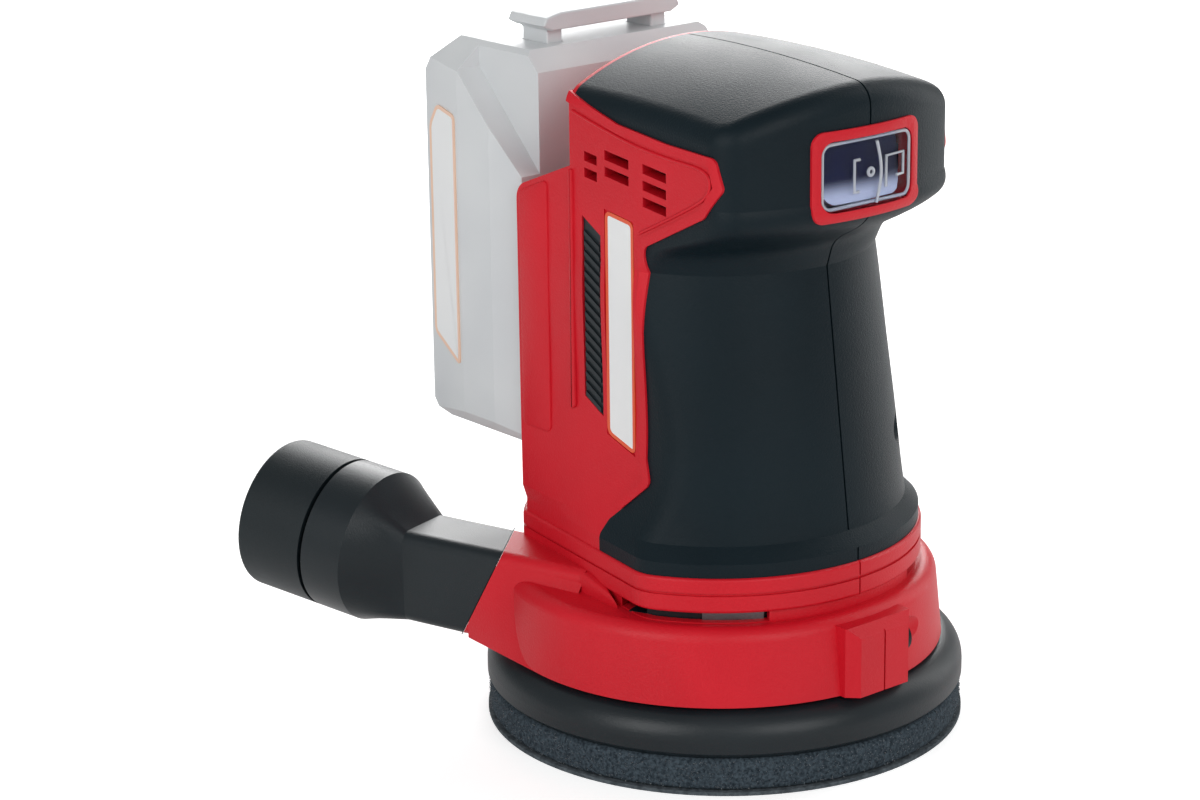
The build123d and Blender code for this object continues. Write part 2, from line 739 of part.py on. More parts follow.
def insert_outline():
    """Side view of the ribbed insert, a leaning strip in the panel."""
    front, rear = INSERT_FRONT, INSERT_FRONT + INSERT_WIDTH
    low, high = dock_floor + INSERT_RISE, roof_high - INSERT_DROP
    return [(front, low), (rear, low + INSERT_LEAN), (rear, high + INSERT_LEAN), (front, high)]


def plate_outline():
    """Side view of the bare plate's shallow seat on the right panel."""
    low, high = dock_floor + PLATE_RISE, roof_high - PLATE_DROP
    rear = PLATE_FRONT + PLATE_WIDTH
    return [(PLATE_FRONT, low), (rear, low + PLATE_LEAN[0]), (rear, high + PLATE_LEAN[1]),
            (PLATE_FRONT, high)]


def cross_slot():
    """Cross recess of a screw head, centred on the head's face."""
    long, wide, deep = CROSS_LENGTH, CROSS_WIDTH, 2 * CROSS_DEPTH
    return Box(wide, long, deep) + Box(long, wide, deep)


def screw_line(y, z, head_x, tip_x, room=0.0):
    """A screw lying along X, head outwards on the left; with room it is its cutter."""
    axis = Pos(0, y, z) * Rot(0, 90, 0)
    head_end = FAR if room else head_x + SCREW_HEAD_HEIGHT
    shank = axis * disc(SCREW_RADIUS, tip_x, head_x)
    head = axis * disc(SCREW_HEAD_RADIUS, head_x, head_end)
    if not room:
        head -= axis * Pos(0, 0, head_end) * cross_slot()
    return shank + head


def housing_cavity(form_in):
    """Room inside the shells for the motor, board and switch."""
    ring_room = extrude(ring_face(skirt_high, NECK_STEP + WALL), ring_high - skirt_high)
    room = form_in + flange_form(shell) + ring_room
    room &= slab(-FAR, FAR, -FAR, dock_wall - WALL, skirt_high, FAR + head_top)
    return room + disc(FAN_RADIUS + FAN_AIR, skirt_high, can_low - 1)


def housing_ribs(cavity):
    """Motor saddles, the switch shelf and the screw bosses inside the shells."""
    ribs = []
    for level in (can_low + SADDLE_THICK, can_high - SADDLE_DROP):
        saddle = slab(-FAR, FAR, -FAR, FAR, level, level + SADDLE_THICK)
        saddle -= slab(-SADDLE_GAP, SADDLE_GAP, -FAR, FAR, 0, FAR)
        saddle -= slab(-FAR, FAR, -SADDLE_GAP, SADDLE_GAP, 0, FAR)
        for side in (-1, 1):
            saddle -= Pos(side * LEAD_X, LEAD_Y) * disc(LEAD_RADIUS + SLIDE, 0, FAR)
        ribs.append(saddle - disc(CAN_RADIUS, 0, FAR))
    shelf = slab(-FAR, FAR, -FAR, BOARD_REAR, shelf_top - SHELF_THICK, shelf_top)
    for side in (-1, 1):
        shelf -= Pos(side * MOTOR_LEAD_X, 0) * disc(LEAD_RADIUS, 0, FAR)
    ribs.append(shelf)
    for x in (-BOARD_POST_X, BOARD_POST_X):
        for y in (BOARD_FRONT + BOARD_POST_SET, BOARD_REAR - BOARD_POST_SET):
            ribs.append(Pos(x, y) * disc(BOARD_POST, shelf_top, board_low))
    for y, z, head_x, tip_x in SCREWS:
        boss = Pos(0, y, z) * Rot(0, 90, 0) * disc(SCREW_HEAD_RADIUS + SCREW_BOSS_WALL, -FAR, FAR)
        ribs.append(boss)
    return (Part() + ribs) & cavity


def housing_and_grip():
    """The two red shells and the two halves of the soft grip bonded on them."""
    outer, skin, inner, proud = (body_form(t) for t in (0.0, GRIP_SKIN, shell, -RIM_PROUD))
    cavity = housing_cavity(inner)
    mask = grip_mask()
    panel = panel_face()
    border = across(panel - panel_face(-RIM_WIDTH))
    border &= slab(-FAR, FAR, -FAR, HEAD_REAR + 1, dock_floor - RIM_FOOT, head_top)
    rim = (proud - skin) & border
    grip = ((outer + flange_form()) - (skin + flange_form(GRIP_SKIN))) & mask
    opening = window(WINDOW_HALF, WINDOW_HEIGHT)
    base = skirt_form() + ring_form() + duct_socket() + screw_block()
    base -= disc(chamber_radius, 0, deck_low)
    base -= disc(PLATE_RADIUS - 2, 0, FAR) + disc(PLATE_RADIUS, plate_low, FAR)
    upper = outer + flange_form() + rim
    corner = [e for e in upper.edges().filter_by(Axis.X)
              if abs(e.center().Y - REAR_Y) < 0.01 and e.center().Z > dock_floor]
    upper = fillet(corner, ROOF_ROUND)
    red = (upper + base) - cavity + housing_ribs(cavity)
    red -= grip + opening + dock_cut() + slot_cutters() + vent_slots()
    red -= duct_passage()
    red -= slab(-TERMINAL_HALF, TERMINAL_HALF, 0, FAR, terminal_low, terminal_high) & \
        slab(-FAR, FAR, dock_wall - WALL - 1, dock_wall + 1, 0, FAR)
    for side in (-1, 1):
        x0, x1 = sorted((side * (HALF_WIDTH - INSERT_DEPTH), side * FAR))
        red -= side_prism(insert_outline(), x0, x1)
    red -= side_prism(plate_outline(), -FAR, -HALF_WIDTH + PLATE_SINK)
    grip -= opening
    seam = slab(-SEAM_WIDTH / 2, SEAM_WIDTH / 2, -FAR, HEAD_REAR, grip_low, FAR + head_top)
    grip -= (proud - body_form(SEAM_DEPTH)) & seam
    grip -= seam_line(RING_RADIUS - FLANGE_STEP, ring_high, flange_high)
    red -= seam_line(RING_RADIUS, slot_high, ring_high)
    red -= seam_line(SKIRT_RADIUS + BLOCK_PROUD, skirt_low, skirt_high)
    for screw in SCREWS:
        cutter = screw_line(*screw, room=1.0)
        red -= cutter
        grip -= cutter
    left = slab(0, FAR, -FAR, FAR, -FAR, FAR + head_top)
    right = slab(-FAR, 0, -FAR, FAR, -FAR, FAR + head_top)
    frame = (proud - inner) & (opening - window(WINDOW_HALF - FRAME_WIDTH,
                                                WINDOW_HEIGHT - 2 * FRAME_WIDTH))
    boot = (outer - body_form(BOOT_THICK)) & window(WINDOW_HALF - FRAME_WIDTH,
                                                    WINDOW_HEIGHT - 2 * FRAME_WIDTH)
    return {
        "housing_left": red & left,
        "housing_right": red & right,
        "grip_left": grip & left,
        "grip_right": grip & right,
        "switch_frame": frame,
        "switch_boot": boot,
    }


def side_insert(side):
    """Ribbed insert that fills the panel's pocket; side is 1 on the left, -1 on the right."""
    base = HALF_WIDTH - INSERT_DEPTH
    plate = side_prism(insert_outline(), base, HALF_WIDTH - INSERT_RIB)
    low, high = insert_outline()[0][1], insert_outline()[3][1]
    count = int((high - low) / INSERT_PITCH)
    ribs = []
    for row in range(count):
        z = low + (row + 0.3) * INSERT_PITCH
        front, rear = INSERT_FRONT + INSERT_EDGE, INSERT_FRONT + INSERT_WIDTH - INSERT_EDGE
        rise = INSERT_LEAN * (rear - front) / INSERT_WIDTH
        ribs.append(side_prism([(front, z), (rear, z + rise), (rear, z + rise + INSERT_PITCH / 2),
                                (front, z + INSERT_PITCH / 2)], base + INSERT_RIB, HALF_WIDTH))
    insert = plate + ribs
    return insert if side > 0 else mirror(insert, Plane.YZ)


def ball_bearing(radius, bore, low, height):
    """Sealed ball bearing: two races with a recessed shield between them."""
    half = (radius - bore) / 2
    body = ring_of(radius, bore, low, low + height)
    recess = ring_of(bore + 1.45 * half, bore + 0.55 * half, low, low + 0.5)
    return body - recess - Pos(0, 0, height - 0.5) * recess


def blade_ring(count, inner, outer, low, high, thick, sweep):
    """Curved fan blades standing round the axis."""
    turn = radians(sweep)
    middle = (inner + outer) / 2
    path = ThreePointArc((inner, 0), (middle * cos(turn / 3), middle * sin(turn / 3)),
                         (outer * cos(turn), outer * sin(turn)))
    blade = Pos(0, 0, low) * extrude(make_face(offset(path, thick / 2)), high - low)
    return [Rot(0, 0, 360 * step / count) * blade for step in range(count)]


def wedge_of(radius, bore, low, high, arc):
    """Ring sector centred on -X."""
    start, reach = radians(180 - arc / 2), 2 * radius
    points = [(0, 0)] + [(reach * cos(start + radians(arc) * k / 4),
                          reach * sin(start + radians(arc) * k / 4)) for k in range(5)]
    sector = Pos(0, 0, low) * extrude(make_face(Polyline(*points, close=True)), high - low)
    return ring_of(radius, bore, low, high) & sector


def pad_holes():
    """Dust holes of the sanding pad."""
    hole = Circle(DUST_HOLE_RADIUS)
    return Sketch() + [loc * hole for loc in PolarLocations(DUST_HOLE_CIRCLE, DUST_HOLES)]


def pad_screw_places():
    """Screw axes round the spindle flange."""
    return PolarLocations(PAD_SCREW_CIRCLE, PAD_SCREWS, 45)


def on_pad(shape):
    """Move a shape drawn round the spindle to the spindle's place at rest."""
    return Pos(ORBIT_OFFSET, 0, 0) * shape


def pad_pieces():
    """Hook sheet, foam, moulded backing, spindle, its clip and the pad screws."""
    access = Sketch() + [loc * Circle(SCREW_HEAD_RADIUS + SLIDE) for loc in pad_screw_places()]
    face = Circle(PAD_RADIUS) - pad_holes() - access
    hook = extrude(face, HOOK_THICK)
    foam = Pos(0, 0, hook_top) * extrude(Circle(PAD_RADIUS - FOAM_STEP) - pad_holes() - access,
                                         FOAM_THICK)
    crest = PAD_RADIUS - BACKING_ROUND
    lift = pad_top - BACKING_ROUND
    bend = BACKING_ROUND * sqrt(0.5)
    profile = [
        Polyline((crest, pad_top), (0, pad_top), (0, foam_top),
                 (PAD_RADIUS - BACKING_CHAMFER, foam_top),
                 (PAD_RADIUS, foam_top + BACKING_CHAMFER), (PAD_RADIUS, lift)),
        ThreePointArc((PAD_RADIUS, lift), (crest + bend, lift + bend), (crest, pad_top)),
    ]
    backing = revolve(Plane.XZ * make_face(profile), Axis.Z)
    seat = pad_top - SPINDLE_FLANGE_THICK
    backing -= disc(SPINDLE_FLANGE_RADIUS, seat, FAR)
    backing -= extrude(pad_holes(), FAR)
    head_seat = foam_top + SCREW_HEAD_HEIGHT
    for loc in pad_screw_places():
        backing -= loc * disc(SCREW_RADIUS, 0, FAR)
        backing -= loc * disc(SCREW_HEAD_RADIUS, 0, head_seat)
    spindle = disc(SPINDLE_FLANGE_RADIUS, seat, pad_top)
    spindle += disc(SPINDLE_RADIUS + SPINDLE_COLLAR, pad_top, bearing_low - AIR)
    spindle += disc(SPINDLE_RADIUS, pad_top, spindle_top)
    groove = SPINDLE_RADIUS - CLIP_GROOVE
    spindle -= ring_of(SPINDLE_RADIUS, groove, clip_low, clip_low + CLIP_THICK)
    spindle -= Part() + [loc * disc(SCREW_RADIUS, 0, pad_top) for loc in pad_screw_places()]
    clip = ring_of(SPINDLE_RADIUS + SPINDLE_COLLAR, groove, clip_low, clip_low + CLIP_THICK)
    clip -= slab(0, FAR, -CLIP_SLOT / 2, CLIP_SLOT / 2, clip_low, FAR)
    screws = []
    for loc in pad_screw_places():
        screw = disc(SCREW_HEAD_RADIUS, head_seat - SCREW_HEAD_HEIGHT, head_seat)
        screw += disc(SCREW_RADIUS, head_seat, pad_top)
        screws.append(on_pad(loc * (screw - Pos(0, 0, foam_top) * cross_slot())))
    return {
        "pad_hook_sheet": on_pad(hook),
        "pad_foam": on_pad(foam),
        "pad_backing": on_pad(backing),
        "pad_spindle": on_pad(spindle),
        "spindle_clip": on_pad(clip),
        "pad_screws": Compound(children=screws),
    }


def drive_pieces():
    """Eccentric hub with its bearing and counterweight, the dust impeller and cooling fan."""
    hub = disc(HUB_RADIUS, hub_low, hub_high) + disc(hub_neck, hub_high, neck_high)
    hub -= on_pad(disc(ECC_BEARING_RADIUS, 0, bearing_low + ECC_BEARING_HEIGHT))
    hub -= on_pad(disc(SPINDLE_RADIUS + CLIP_ROOM, 0, hub_roof))
    hub -= disc(SHAFT_RADIUS, shaft_low, FAR)
    bearing = on_pad(ball_bearing(ECC_BEARING_RADIUS, SPINDLE_RADIUS + RUN, bearing_low,
                                  ECC_BEARING_HEIGHT))
    weight = wedge_of(COUNTERWEIGHT_RADIUS, HUB_RADIUS, hub_low + 1,
                      hub_low + 1 + COUNTERWEIGHT_THICK, COUNTERWEIGHT_ARC)
    impeller = ring_of(IMPELLER_RADIUS, HUB_RADIUS, impeller_low, impeller_low + IMPELLER_DISC)
    impeller += blade_ring(IMPELLER_BLADES, COUNTERWEIGHT_RADIUS + 1, IMPELLER_RADIUS,
                           impeller_low - IMPELLER_BLADE_HEIGHT, impeller_low + BLADE_ROOT,
                           IMPELLER_BLADE_THICK, IMPELLER_SWEEP)
    below, above = FAN_HUB_RISE
    fan = ring_of(SHAFT_RADIUS + FAN_HUB_WALL, SHAFT_RADIUS, fan_disc - below, fan_disc + above)
    fan += ring_of(FAN_RADIUS, SHAFT_RADIUS, fan_disc, fan_disc + FAN_DISC)
    fan += blade_ring(FAN_BLADES, BOSS_RADIUS + FAN_AIR + 1, FAN_RADIUS, fan_low,
                      fan_disc + BLADE_ROOT, FAN_BLADE_THICK, FAN_SWEEP)
    return {
        "eccentric_hub": hub,
        "eccentric_bearing": bearing,
        "counterweight": weight,
        "dust_impeller": impeller,
        "cooling_fan": fan,
    }


def motor_case():
    """Steel can with its vents, the two magnets inside it and the end bell on top."""
    can = disc(CAN_RADIUS, can_low, can_high)
    can -= disc(CAN_RADIUS - CAN_WALL, can_low + CAN_WALL, FAR)
    can -= disc(SHAFT_RADIUS + FAN_HUB_WALL - AIR, 0, FAR)
    vent = Pos(CAN_RADIUS - CAN_VENT_SET, 0, can_low) * Box(*CAN_VENT, 2 * CAN_WALL + 1)
    can -= [Rot(0, 0, 360 * step / CAN_VENTS) * vent for step in range(CAN_VENTS)]
    inside = CAN_RADIUS - CAN_WALL
    magnet = wedge_of(inside, inside - MAGNET_THICK, rotor_low - 2, can_high, MAGNET_ARC)
    bell = ring_of(CAN_RADIUS, CAN_RADIUS - BELL_WALL, can_high, bell_high)
    bell += ring_of(CAN_RADIUS, TAIL_RADIUS + 2, bell_high - BELL_ROOF, bell_high)
    bell += ring_of(TAIL_BEARING_RADIUS + BELL_ROOF, TAIL_BEARING_RADIUS, bell_high, tail_high)
    window_cut = Pos(CAN_RADIUS - BELL_VENT_SET, 0, bell_high) * Box(*BELL_VENT, 3 * BELL_ROOF)
    bell -= [Rot(0, 0, 360 * step / BELL_VENTS) * window_cut for step in range(BELL_VENTS)]
    return {
        "motor_can": can,
        "motor_magnets": Compound(children=[magnet, Rot(0, 0, 180) * magnet]),
        "motor_end_bell": bell,
    }


def brush_gear():
    """Two carbon brushes in their holders, each pressed on the commutator by a folded spring."""
    low = commutator_low + BRUSH_RISE
    half, outer = BRUSH_WIDTH / 2, CAN_RADIUS - BELL_WALL
    holder = slab(COMMUTATOR_RADIUS + 1, outer, -half - HOLDER_WALL, half + HOLDER_WALL,
                  low - HOLDER_WALL, low + BRUSH_HEIGHT + HOLDER_WALL)
    holder &= disc(outer, 0, FAR)
    room = slab(0, outer - HOLDER_WALL, -half, half, low, low + BRUSH_HEIGHT)
    brush = room & ring_of(CAN_RADIUS - BRUSH_WEAR, COMMUTATOR_RADIUS + RUN, 0, FAR)
    slim = half - SPRING_PLAY
    spring = slab(CAN_RADIUS - BRUSH_WEAR, outer - HOLDER_WALL, -slim, slim, low + SPRING_PLAY,
                  low + BRUSH_HEIGHT - SPRING_PLAY)
    fold = CAN_RADIUS - BRUSH_WEAR + SPRING_FOLD
    groove = slab(fold, fold + SPRING_FOLD, -FAR, slim - SPRING_FOLD, 0, FAR)
    spring -= groove + Pos(2 * SPRING_FOLD, 0, 0) * mirror(groove, Plane.XZ)
    pieces = {"brush_holders": holder - room, "carbon_brushes": brush, "brush_springs": spring}
    return {name: Compound(children=[piece, Rot(0, 0, 180) * piece])
            for name, piece in pieces.items()}


def rotor_pieces():
    """Shaft with the slotted core, its windings and the commutator."""
    shaft = disc(SHAFT_RADIUS, shaft_low, tail_low) + disc(TAIL_RADIUS, tail_low, tail_high)
    turns = [Rot(0, 0, 360 * step / ROTOR_SLOTS) for step in range(ROTOR_SLOTS)]
    slot = extrude(Rectangle(*ROTOR_SLOT) + Circle(ROTOR_SLOT_EYE), ROTOR_HEIGHT)
    slot = Pos(ROTOR_RADIUS - ROTOR_SLOT_SET, 0, rotor_low) * slot
    slots = Part() + [turn * slot for turn in turns]
    bore = disc(SHAFT_RADIUS, 0, FAR)
    wound = slots & disc(ROTOR_RADIUS - WINDING_SINK, 0, FAR)
    for level in (rotor_low - WINDING_END, rotor_high):
        ends = ring_of(ROTOR_RADIUS - 1, SHAFT_RADIUS + 1.5, level, level + WINDING_END)
        rims = ends.edges().filter_by(GeomType.CIRCLE).group_by(SortBy.RADIUS)[-1]
        wound += fillet(rims, WINDING_ROUND)
    bars = disc(COMMUTATOR_RADIUS, commutator_low, commutator_low + COMMUTATOR_HEIGHT) - bore
    gap = Pos(COMMUTATOR_RADIUS, 0, commutator_low + COMMUTATOR_HEIGHT / 2)
    gap *= Box(*COMMUTATOR_CUT, COMMUTATOR_HEIGHT)
    return {
        "motor_shaft": shaft,
        "rotor_core": disc(ROTOR_RADIUS, rotor_low, rotor_high) - slots - bore,
        "rotor_windings": wound - bore,
        "commutator": bars - [turn * gap for turn in turns],
    }


def bearing_pieces():
    """Bearings of the motor shaft, the plate that holds the lower one, and the pad's brake."""
    plate = disc(PLATE_RADIUS, plate_low, plate_low + PLATE_THICK)
    plate += disc(BOSS_RADIUS, plate_low, lower_bearing_low + BEARING_HEIGHT)
    plate -= disc(BEARING_RADIUS, lower_bearing_low, FAR) + disc(hub_neck + AIR, 0, FAR)
    wide, deep = PLATE_RIB
    rib = slab(BOSS_RADIUS - BLADE_ROOT, PLATE_RADIUS - 2, -wide / 2, wide / 2, plate_low - deep,
               plate_low)
    plate += [Rot(0, 0, 360 * step / PLATE_RIBS) * rib for step in range(PLATE_RIBS)]
    brake_low = pad_top + BRAKE_GAP
    return {
        "tail_bearing": ball_bearing(TAIL_BEARING_RADIUS, TAIL_RADIUS + RUN, bell_high,
                                     TAIL_BEARING_HEIGHT),
        "lower_bearing": ball_bearing(BEARING_RADIUS, SHAFT_RADIUS + RUN, lower_bearing_low,
                                      BEARING_HEIGHT),
        "bearing_plate": plate,
        "pad_brake": ring_of(chamber_radius, IMPELLER_RADIUS + 3 * AIR, brake_low,
                             brake_low + BRAKE_HEIGHT),
    }


def in_barrel(shape):
    """Place a shape drawn along y from the barrel's start, which points a little upwards."""
    start = Pos(0, NECK_LENGTH + CONE_LENGTH, duct_z + BARREL_RISE)
    return start * Rot(BARREL_TILT, 0, 0) * shape


def round_bar(radius, y0, y1):
    """Round bar along the barrel's own axis."""
    return in_barrel(Pos(0, y0, 0) * extrude(Plane.XZ * Circle(radius), y0 - y1))


def cone_between(shrink, radius):
    """Square duct section growing into the barrel's round one."""
    return loft([duct_section(NECK_LENGTH, shrink), in_barrel(Plane.XZ * Circle(radius))])


def dust_pieces():
    """Hose adapter that plugs into the socket, and the rubber sleeve on its end."""
    sleeve_start = BARREL_LENGTH + SLEEVE_GAP
    sleeve_end = sleeve_start + SLEEVE_LENGTH
    tube_end = sleeve_start + TUBE_LENGTH
    bore = HOSE_RADIUS - HOSE_STOP
    plug_inset = DUCT_WALL + SLIDE
    way_inset = plug_inset + DUCT_WALL
    neck = extrude(duct_section(NECK_LENGTH), NECK_LENGTH + DUCT_WIDTH) - mouth_side(SLIDE, -FAR)
    body = neck + cone_between(0, SLEEVE_RADIUS) + round_bar(SLEEVE_RADIUS, 0, BARREL_LENGTH)
    body += round_bar(HOSE_RADIUS + TUBE_STEP, BARREL_LENGTH, tube_end)
    body = in_duct(body) - disc(SKIRT_RADIUS + SLIDE, 0, skirt_high + SLIDE)
    body -= disc(RING_RADIUS + SLIDE, skirt_high, FAR)
    plug = extrude(duct_section(NECK_LENGTH, plug_inset), NECK_LENGTH + SPIGOT_LENGTH)
    plug &= slab(-FAR, FAR, -FAR, FAR, 0, passage_top - SLIDE)
    body += in_duct(plug) - disc(chamber_radius + AIR, 0, FAR)
    low_way = extrude(duct_section(NECK_LENGTH, way_inset), NECK_LENGTH + 2 * SPIGOT_LENGTH)
    low_way &= slab(-FAR, FAR, -FAR, FAR, 0, passage_top - SLIDE - DUCT_WALL)
    way = low_way + extrude(duct_section(NECK_LENGTH, way_inset), NECK_LENGTH - SPIGOT_LENGTH)
    way += cone_between(way_inset, bore) + round_bar(bore, 0, tube_end + 1)
    sleeve = round_bar(SLEEVE_RADIUS, sleeve_start, sleeve_end)
    sleeve = fillet(sleeve.edges().filter_by(GeomType.CIRCLE).sort_by(Axis.Y)[-1], SLEEVE_ROUND)
    sleeve -= round_bar(HOSE_RADIUS, sleeve_start - 1, sleeve_end + 1)
    sleeve -= round_bar(HOSE_RADIUS + TUBE_STEP, sleeve_start - 1, tube_end)
    return {"dust_adapter": body - in_duct(way), "hose_sleeve": in_duct(sleeve)}


def mirrored_outline(points):
    """Close a right-hand half outline with its mirror image on the left."""
    return points + [(-x, y) for x, y in reversed(points)]


def pack_form(inset=0.0):
    """Outside of the battery pack: plan, front and side outlines meeting in one faceted form."""
    half, low, top = PACK_HALF - inset, pack_low + inset, pack_top - inset
    front, rear = pack_front + inset, pack_rear - inset
    plan = mirrored_outline([(half - PACK_FACET, front), (half, pack_front + PACK_BAND),
                             (half, pack_split), (half - PACK_REAR_FACET, rear)])
    block = Pos(0, 0, low) * extrude(make_face(Polyline(*plan, close=True)), top - low)
    wide, tall = PACK_SHOULDER
    face = mirrored_outline([(half - PACK_CHAMFER, low), (half, low + PACK_CHAMFER),
                             (half, top - tall), (half - wide, top)])
    block &= front_prism(face, front, rear)
    block &= side_prism([(front, low), (rear - PACK_CHAMFER, low), (rear, low + PACK_CHAMFER),
                         (rear, top - wide), (rear - tall, top), (front + PACK_BROW, top),
                         (front, top - PACK_BROW)], -half, half)
    cheek_low, cheek_high = top - PACK_CHEEK_DROP, top - PACK_CHEEK_TOP
    run = pack_split - pack_front
    cheek = [(pack_front - run, 2 * cheek_low - cheek_high), (pack_split, cheek_high),
             (pack_split, FAR + top), (pack_front - run, FAR + top)]
    side = PACK_CHEEK - inset
    return block - side_prism(cheek, side, FAR) - side_prism(cheek, -FAR, -side)


def cell_places():
    """Middles of the cells, staggered in two columns, as (y, z)."""
    first = pack_low + PACK_WALL + CELL_RISE + CELL_RADIUS
    rear = pack_rear - PACK_WALL - CELL_REAR_PLAY - CELL_RADIUS
    return [(rear - (k % 2) * CELL_STAGGER, first + k * CELL_PITCH) for k in range(CELLS)]


def blade_places():
    """Middles of the contact blades along X."""
    return [(k - 1.5) * BLADE_SPACING for k in range(4)]


def pack_screw_places():
    """Case screw axes, parallel to Y, as (x, z)."""
    rows = (pack_low + PACK_WALL + PACK_SCREW_RISE, pack_top - PACK_WALL - PACK_SCREW_DROP)
    return [(side * PACK_SCREW_X, z) for side in (-1, 1) for z in rows]


def along_y(x, z, radius, y0, y1):
    """Round bar parallel to Y."""
    return Pos(x, y0, z) * extrude(Plane.XZ * Circle(radius), -(y1 - y0))


def pack_bosses(room):
    """Screw bosses inside the case."""
    return [along_y(x, z, PACK_SCREW_BOSS, pack_front, pack_rear) & room
            for x, z in pack_screw_places()]


def pack_rail():
    """Rail on the pack's front that slides down the tool's dock."""
    rail_back = dock_wall + SLIDE
    rail = slab(-(DOCK_HALF - SLIDE), DOCK_HALF - SLIDE, rail_back,
                REAR_Y - LIP_THICK - SLIDE, pack_low, rail_top)
    neck = DOCK_HALF - DOCK_LIP - SLIDE
    rail += slab(-neck, neck, rail_back, pack_front + PACK_WALL, pack_low, rail_top)
    return chamfer(rail.faces().sort_by(Axis.Z)[-1].edges().sort_by(Axis.Y)[0], RAIL_CHAMFER)


def pack_screw(x, z):
    """One case screw with its head sunk in the rear half."""
    seat = pack_rear - PACK_SCREW_SINK
    radius, height = PACK_SCREW_HEAD
    shank = along_y(x, z, PACK_SCREW_RADIUS, pack_split - PACK_SCREW_REACH, seat)
    return shank + along_y(x, z, radius, seat, seat + height)


def pack_case():
    """Case in two halves with the screws that join them."""
    room = pack_form(PACK_WALL)
    case = pack_form() - room + pack_bosses(room) + pack_rail()
    for x in blade_places():
        case -= slab(x - CLIP_HALF, x + CLIP_HALF, 0, dock_wall + BLADE_REACH + AIR,
                     0, blade_top + BLADE_SLOT_ROOM)
    across_leg, along_leg = BUTTON_LEG / 2 + SLIDE, BUTTON_LEG + SLIDE
    for leg in (-BUTTON_LEG_X, BUTTON_LEG_X):
        case -= slab(leg - across_leg, leg + across_leg, button_y - along_leg,
                     button_y + along_leg, pack_top - PACK_WALL - 1, FAR + pack_top)
    screws = []
    radius, height = PACK_SCREW_HEAD
    seat = pack_rear - PACK_SCREW_SINK
    for x, z in pack_screw_places():
        case -= pack_screw(x, z) + along_y(x, z, radius, seat, FAR)
        cross = Pos(x, seat + height, z) * Rot(90, 0, 0) * cross_slot()
        screws.append(pack_screw(x, z) - cross)
    front_half = slab(-FAR, FAR, -FAR, pack_split, 0, FAR)
    return {
        "battery_case_front": case & front_half,
        "battery_case_rear": case - front_half,
        "battery_screws": Compound(children=screws),
    }


def cell_pieces():
    """Cells, the two plates that hold them and the straps that join them."""
    room, half = pack_form(PACK_WALL), CELL_LENGTH / 2
    cells, tubes, straps, holder = [], [], [], []
    for y, z in cell_places():
        tubes.append(Pos(-half, y, z) * Rot(0, 90, 0) * disc(CELL_RADIUS, 0, CELL_LENGTH))
        tip = Pos(half, y, z) * Rot(0, 90, 0) * disc(CELL_TIP_RADIUS, 0, CELL_TIP)
        cells.append(tubes[-1] + tip)
    for side in (-1, 1):
        x0, x1 = sorted(side * (half - inset) for inset in HOLDER_SET)
        plate = slab(x0, x1, board_y, pack_rear, pack_low, pack_top - HOLDER_DROP) & room
        plate = plate - tubes - pack_bosses(room)
        holder.append(plate.solids().sort_by(SortBy.VOLUME)[-1])
    for k in range(CELLS - 1):
        (y0, z0), (y1, z1) = cell_places()[k:k + 2]
        x = half + CELL_TIP if k % 2 else -half - STRAP_THICK
        strip = SlotCenterToCenter(hypot(y1 - y0, z1 - z0), 2 * CELL_TIP_RADIUS)
        middle = Pos((y0 + y1) / 2, (z0 + z1) / 2) * Rot(0, 0, degrees(atan2(z1 - z0, y1 - y0)))
        straps.append(extrude(Plane.YZ.offset(x) * (middle * strip), STRAP_THICK))
    return {
        "battery_cells": Compound(children=cells),
        "cell_holder": Compound(children=holder),
        "cell_straps": Compound(children=straps),
    }


def pack_contacts():
    """Board behind the pack's front wall and the pairs of leaves that grip the blades."""
    below, above = BATTERY_BOARD_REACH
    face = board_y - BOARD_THICK
    board = slab(-BATTERY_BOARD_HALF, BATTERY_BOARD_HALF, face, board_y, terminal_low - below,
                 terminal_high + above)
    clips = []
    for x in blade_places():
        for side in (-1, 1):
            inner = x + side * (BLADE_THICK / 2 + SLIDE)
            x0, x1 = sorted((inner, inner + side * CLIP_LEAF))
            clips.append(slab(x0, x1, pack_front + PACK_WALL, face, blade_low, blade_top))
    return {"battery_board": board, "battery_clips": Compound(children=clips)}


def button_pieces():
    """Bridge-shaped release button on the pack's top and the leaf spring under its legs."""
    low = pack_top + BUTTON_GAP
    outline = mirrored_outline([(BUTTON_HALF - x, low + z) for x, z in BUTTON_EDGE])
    bridge = front_prism(outline, button_y - BUTTON_DEPTH / 2, button_y + BUTTON_DEPTH / 2)
    leg_low = pack_top - PACK_WALL - BUTTON_TRAVEL
    for leg in (-BUTTON_LEG_X, BUTTON_LEG_X):
        bridge += slab(leg - BUTTON_LEG / 2, leg + BUTTON_LEG / 2, button_y - BUTTON_LEG,
                       button_y + BUTTON_LEG, leg_low, low + 1)
    end, middle = leg_low - LEAF_THICK / 2, pack_top - PACK_WALL - LEAF_THICK / 2
    reach, bend = BUTTON_LEG_X + BUTTON_LEG / 2, BUTTON_LEG_X - BUTTON_LEG / 2 - 1
    strip = Polyline((-reach, end), (-bend, end), (-BUTTON_LEG, middle), (BUTTON_LEG, middle),
                     (bend, end), (reach, end))
    leaf = extrude(Plane.XZ * make_face(offset(strip, LEAF_THICK / 2)), BUTTON_LEG / 2, both=True)
    return {"battery_button": bridge, "button_spring": Pos(0, button_y, 0) * leaf}


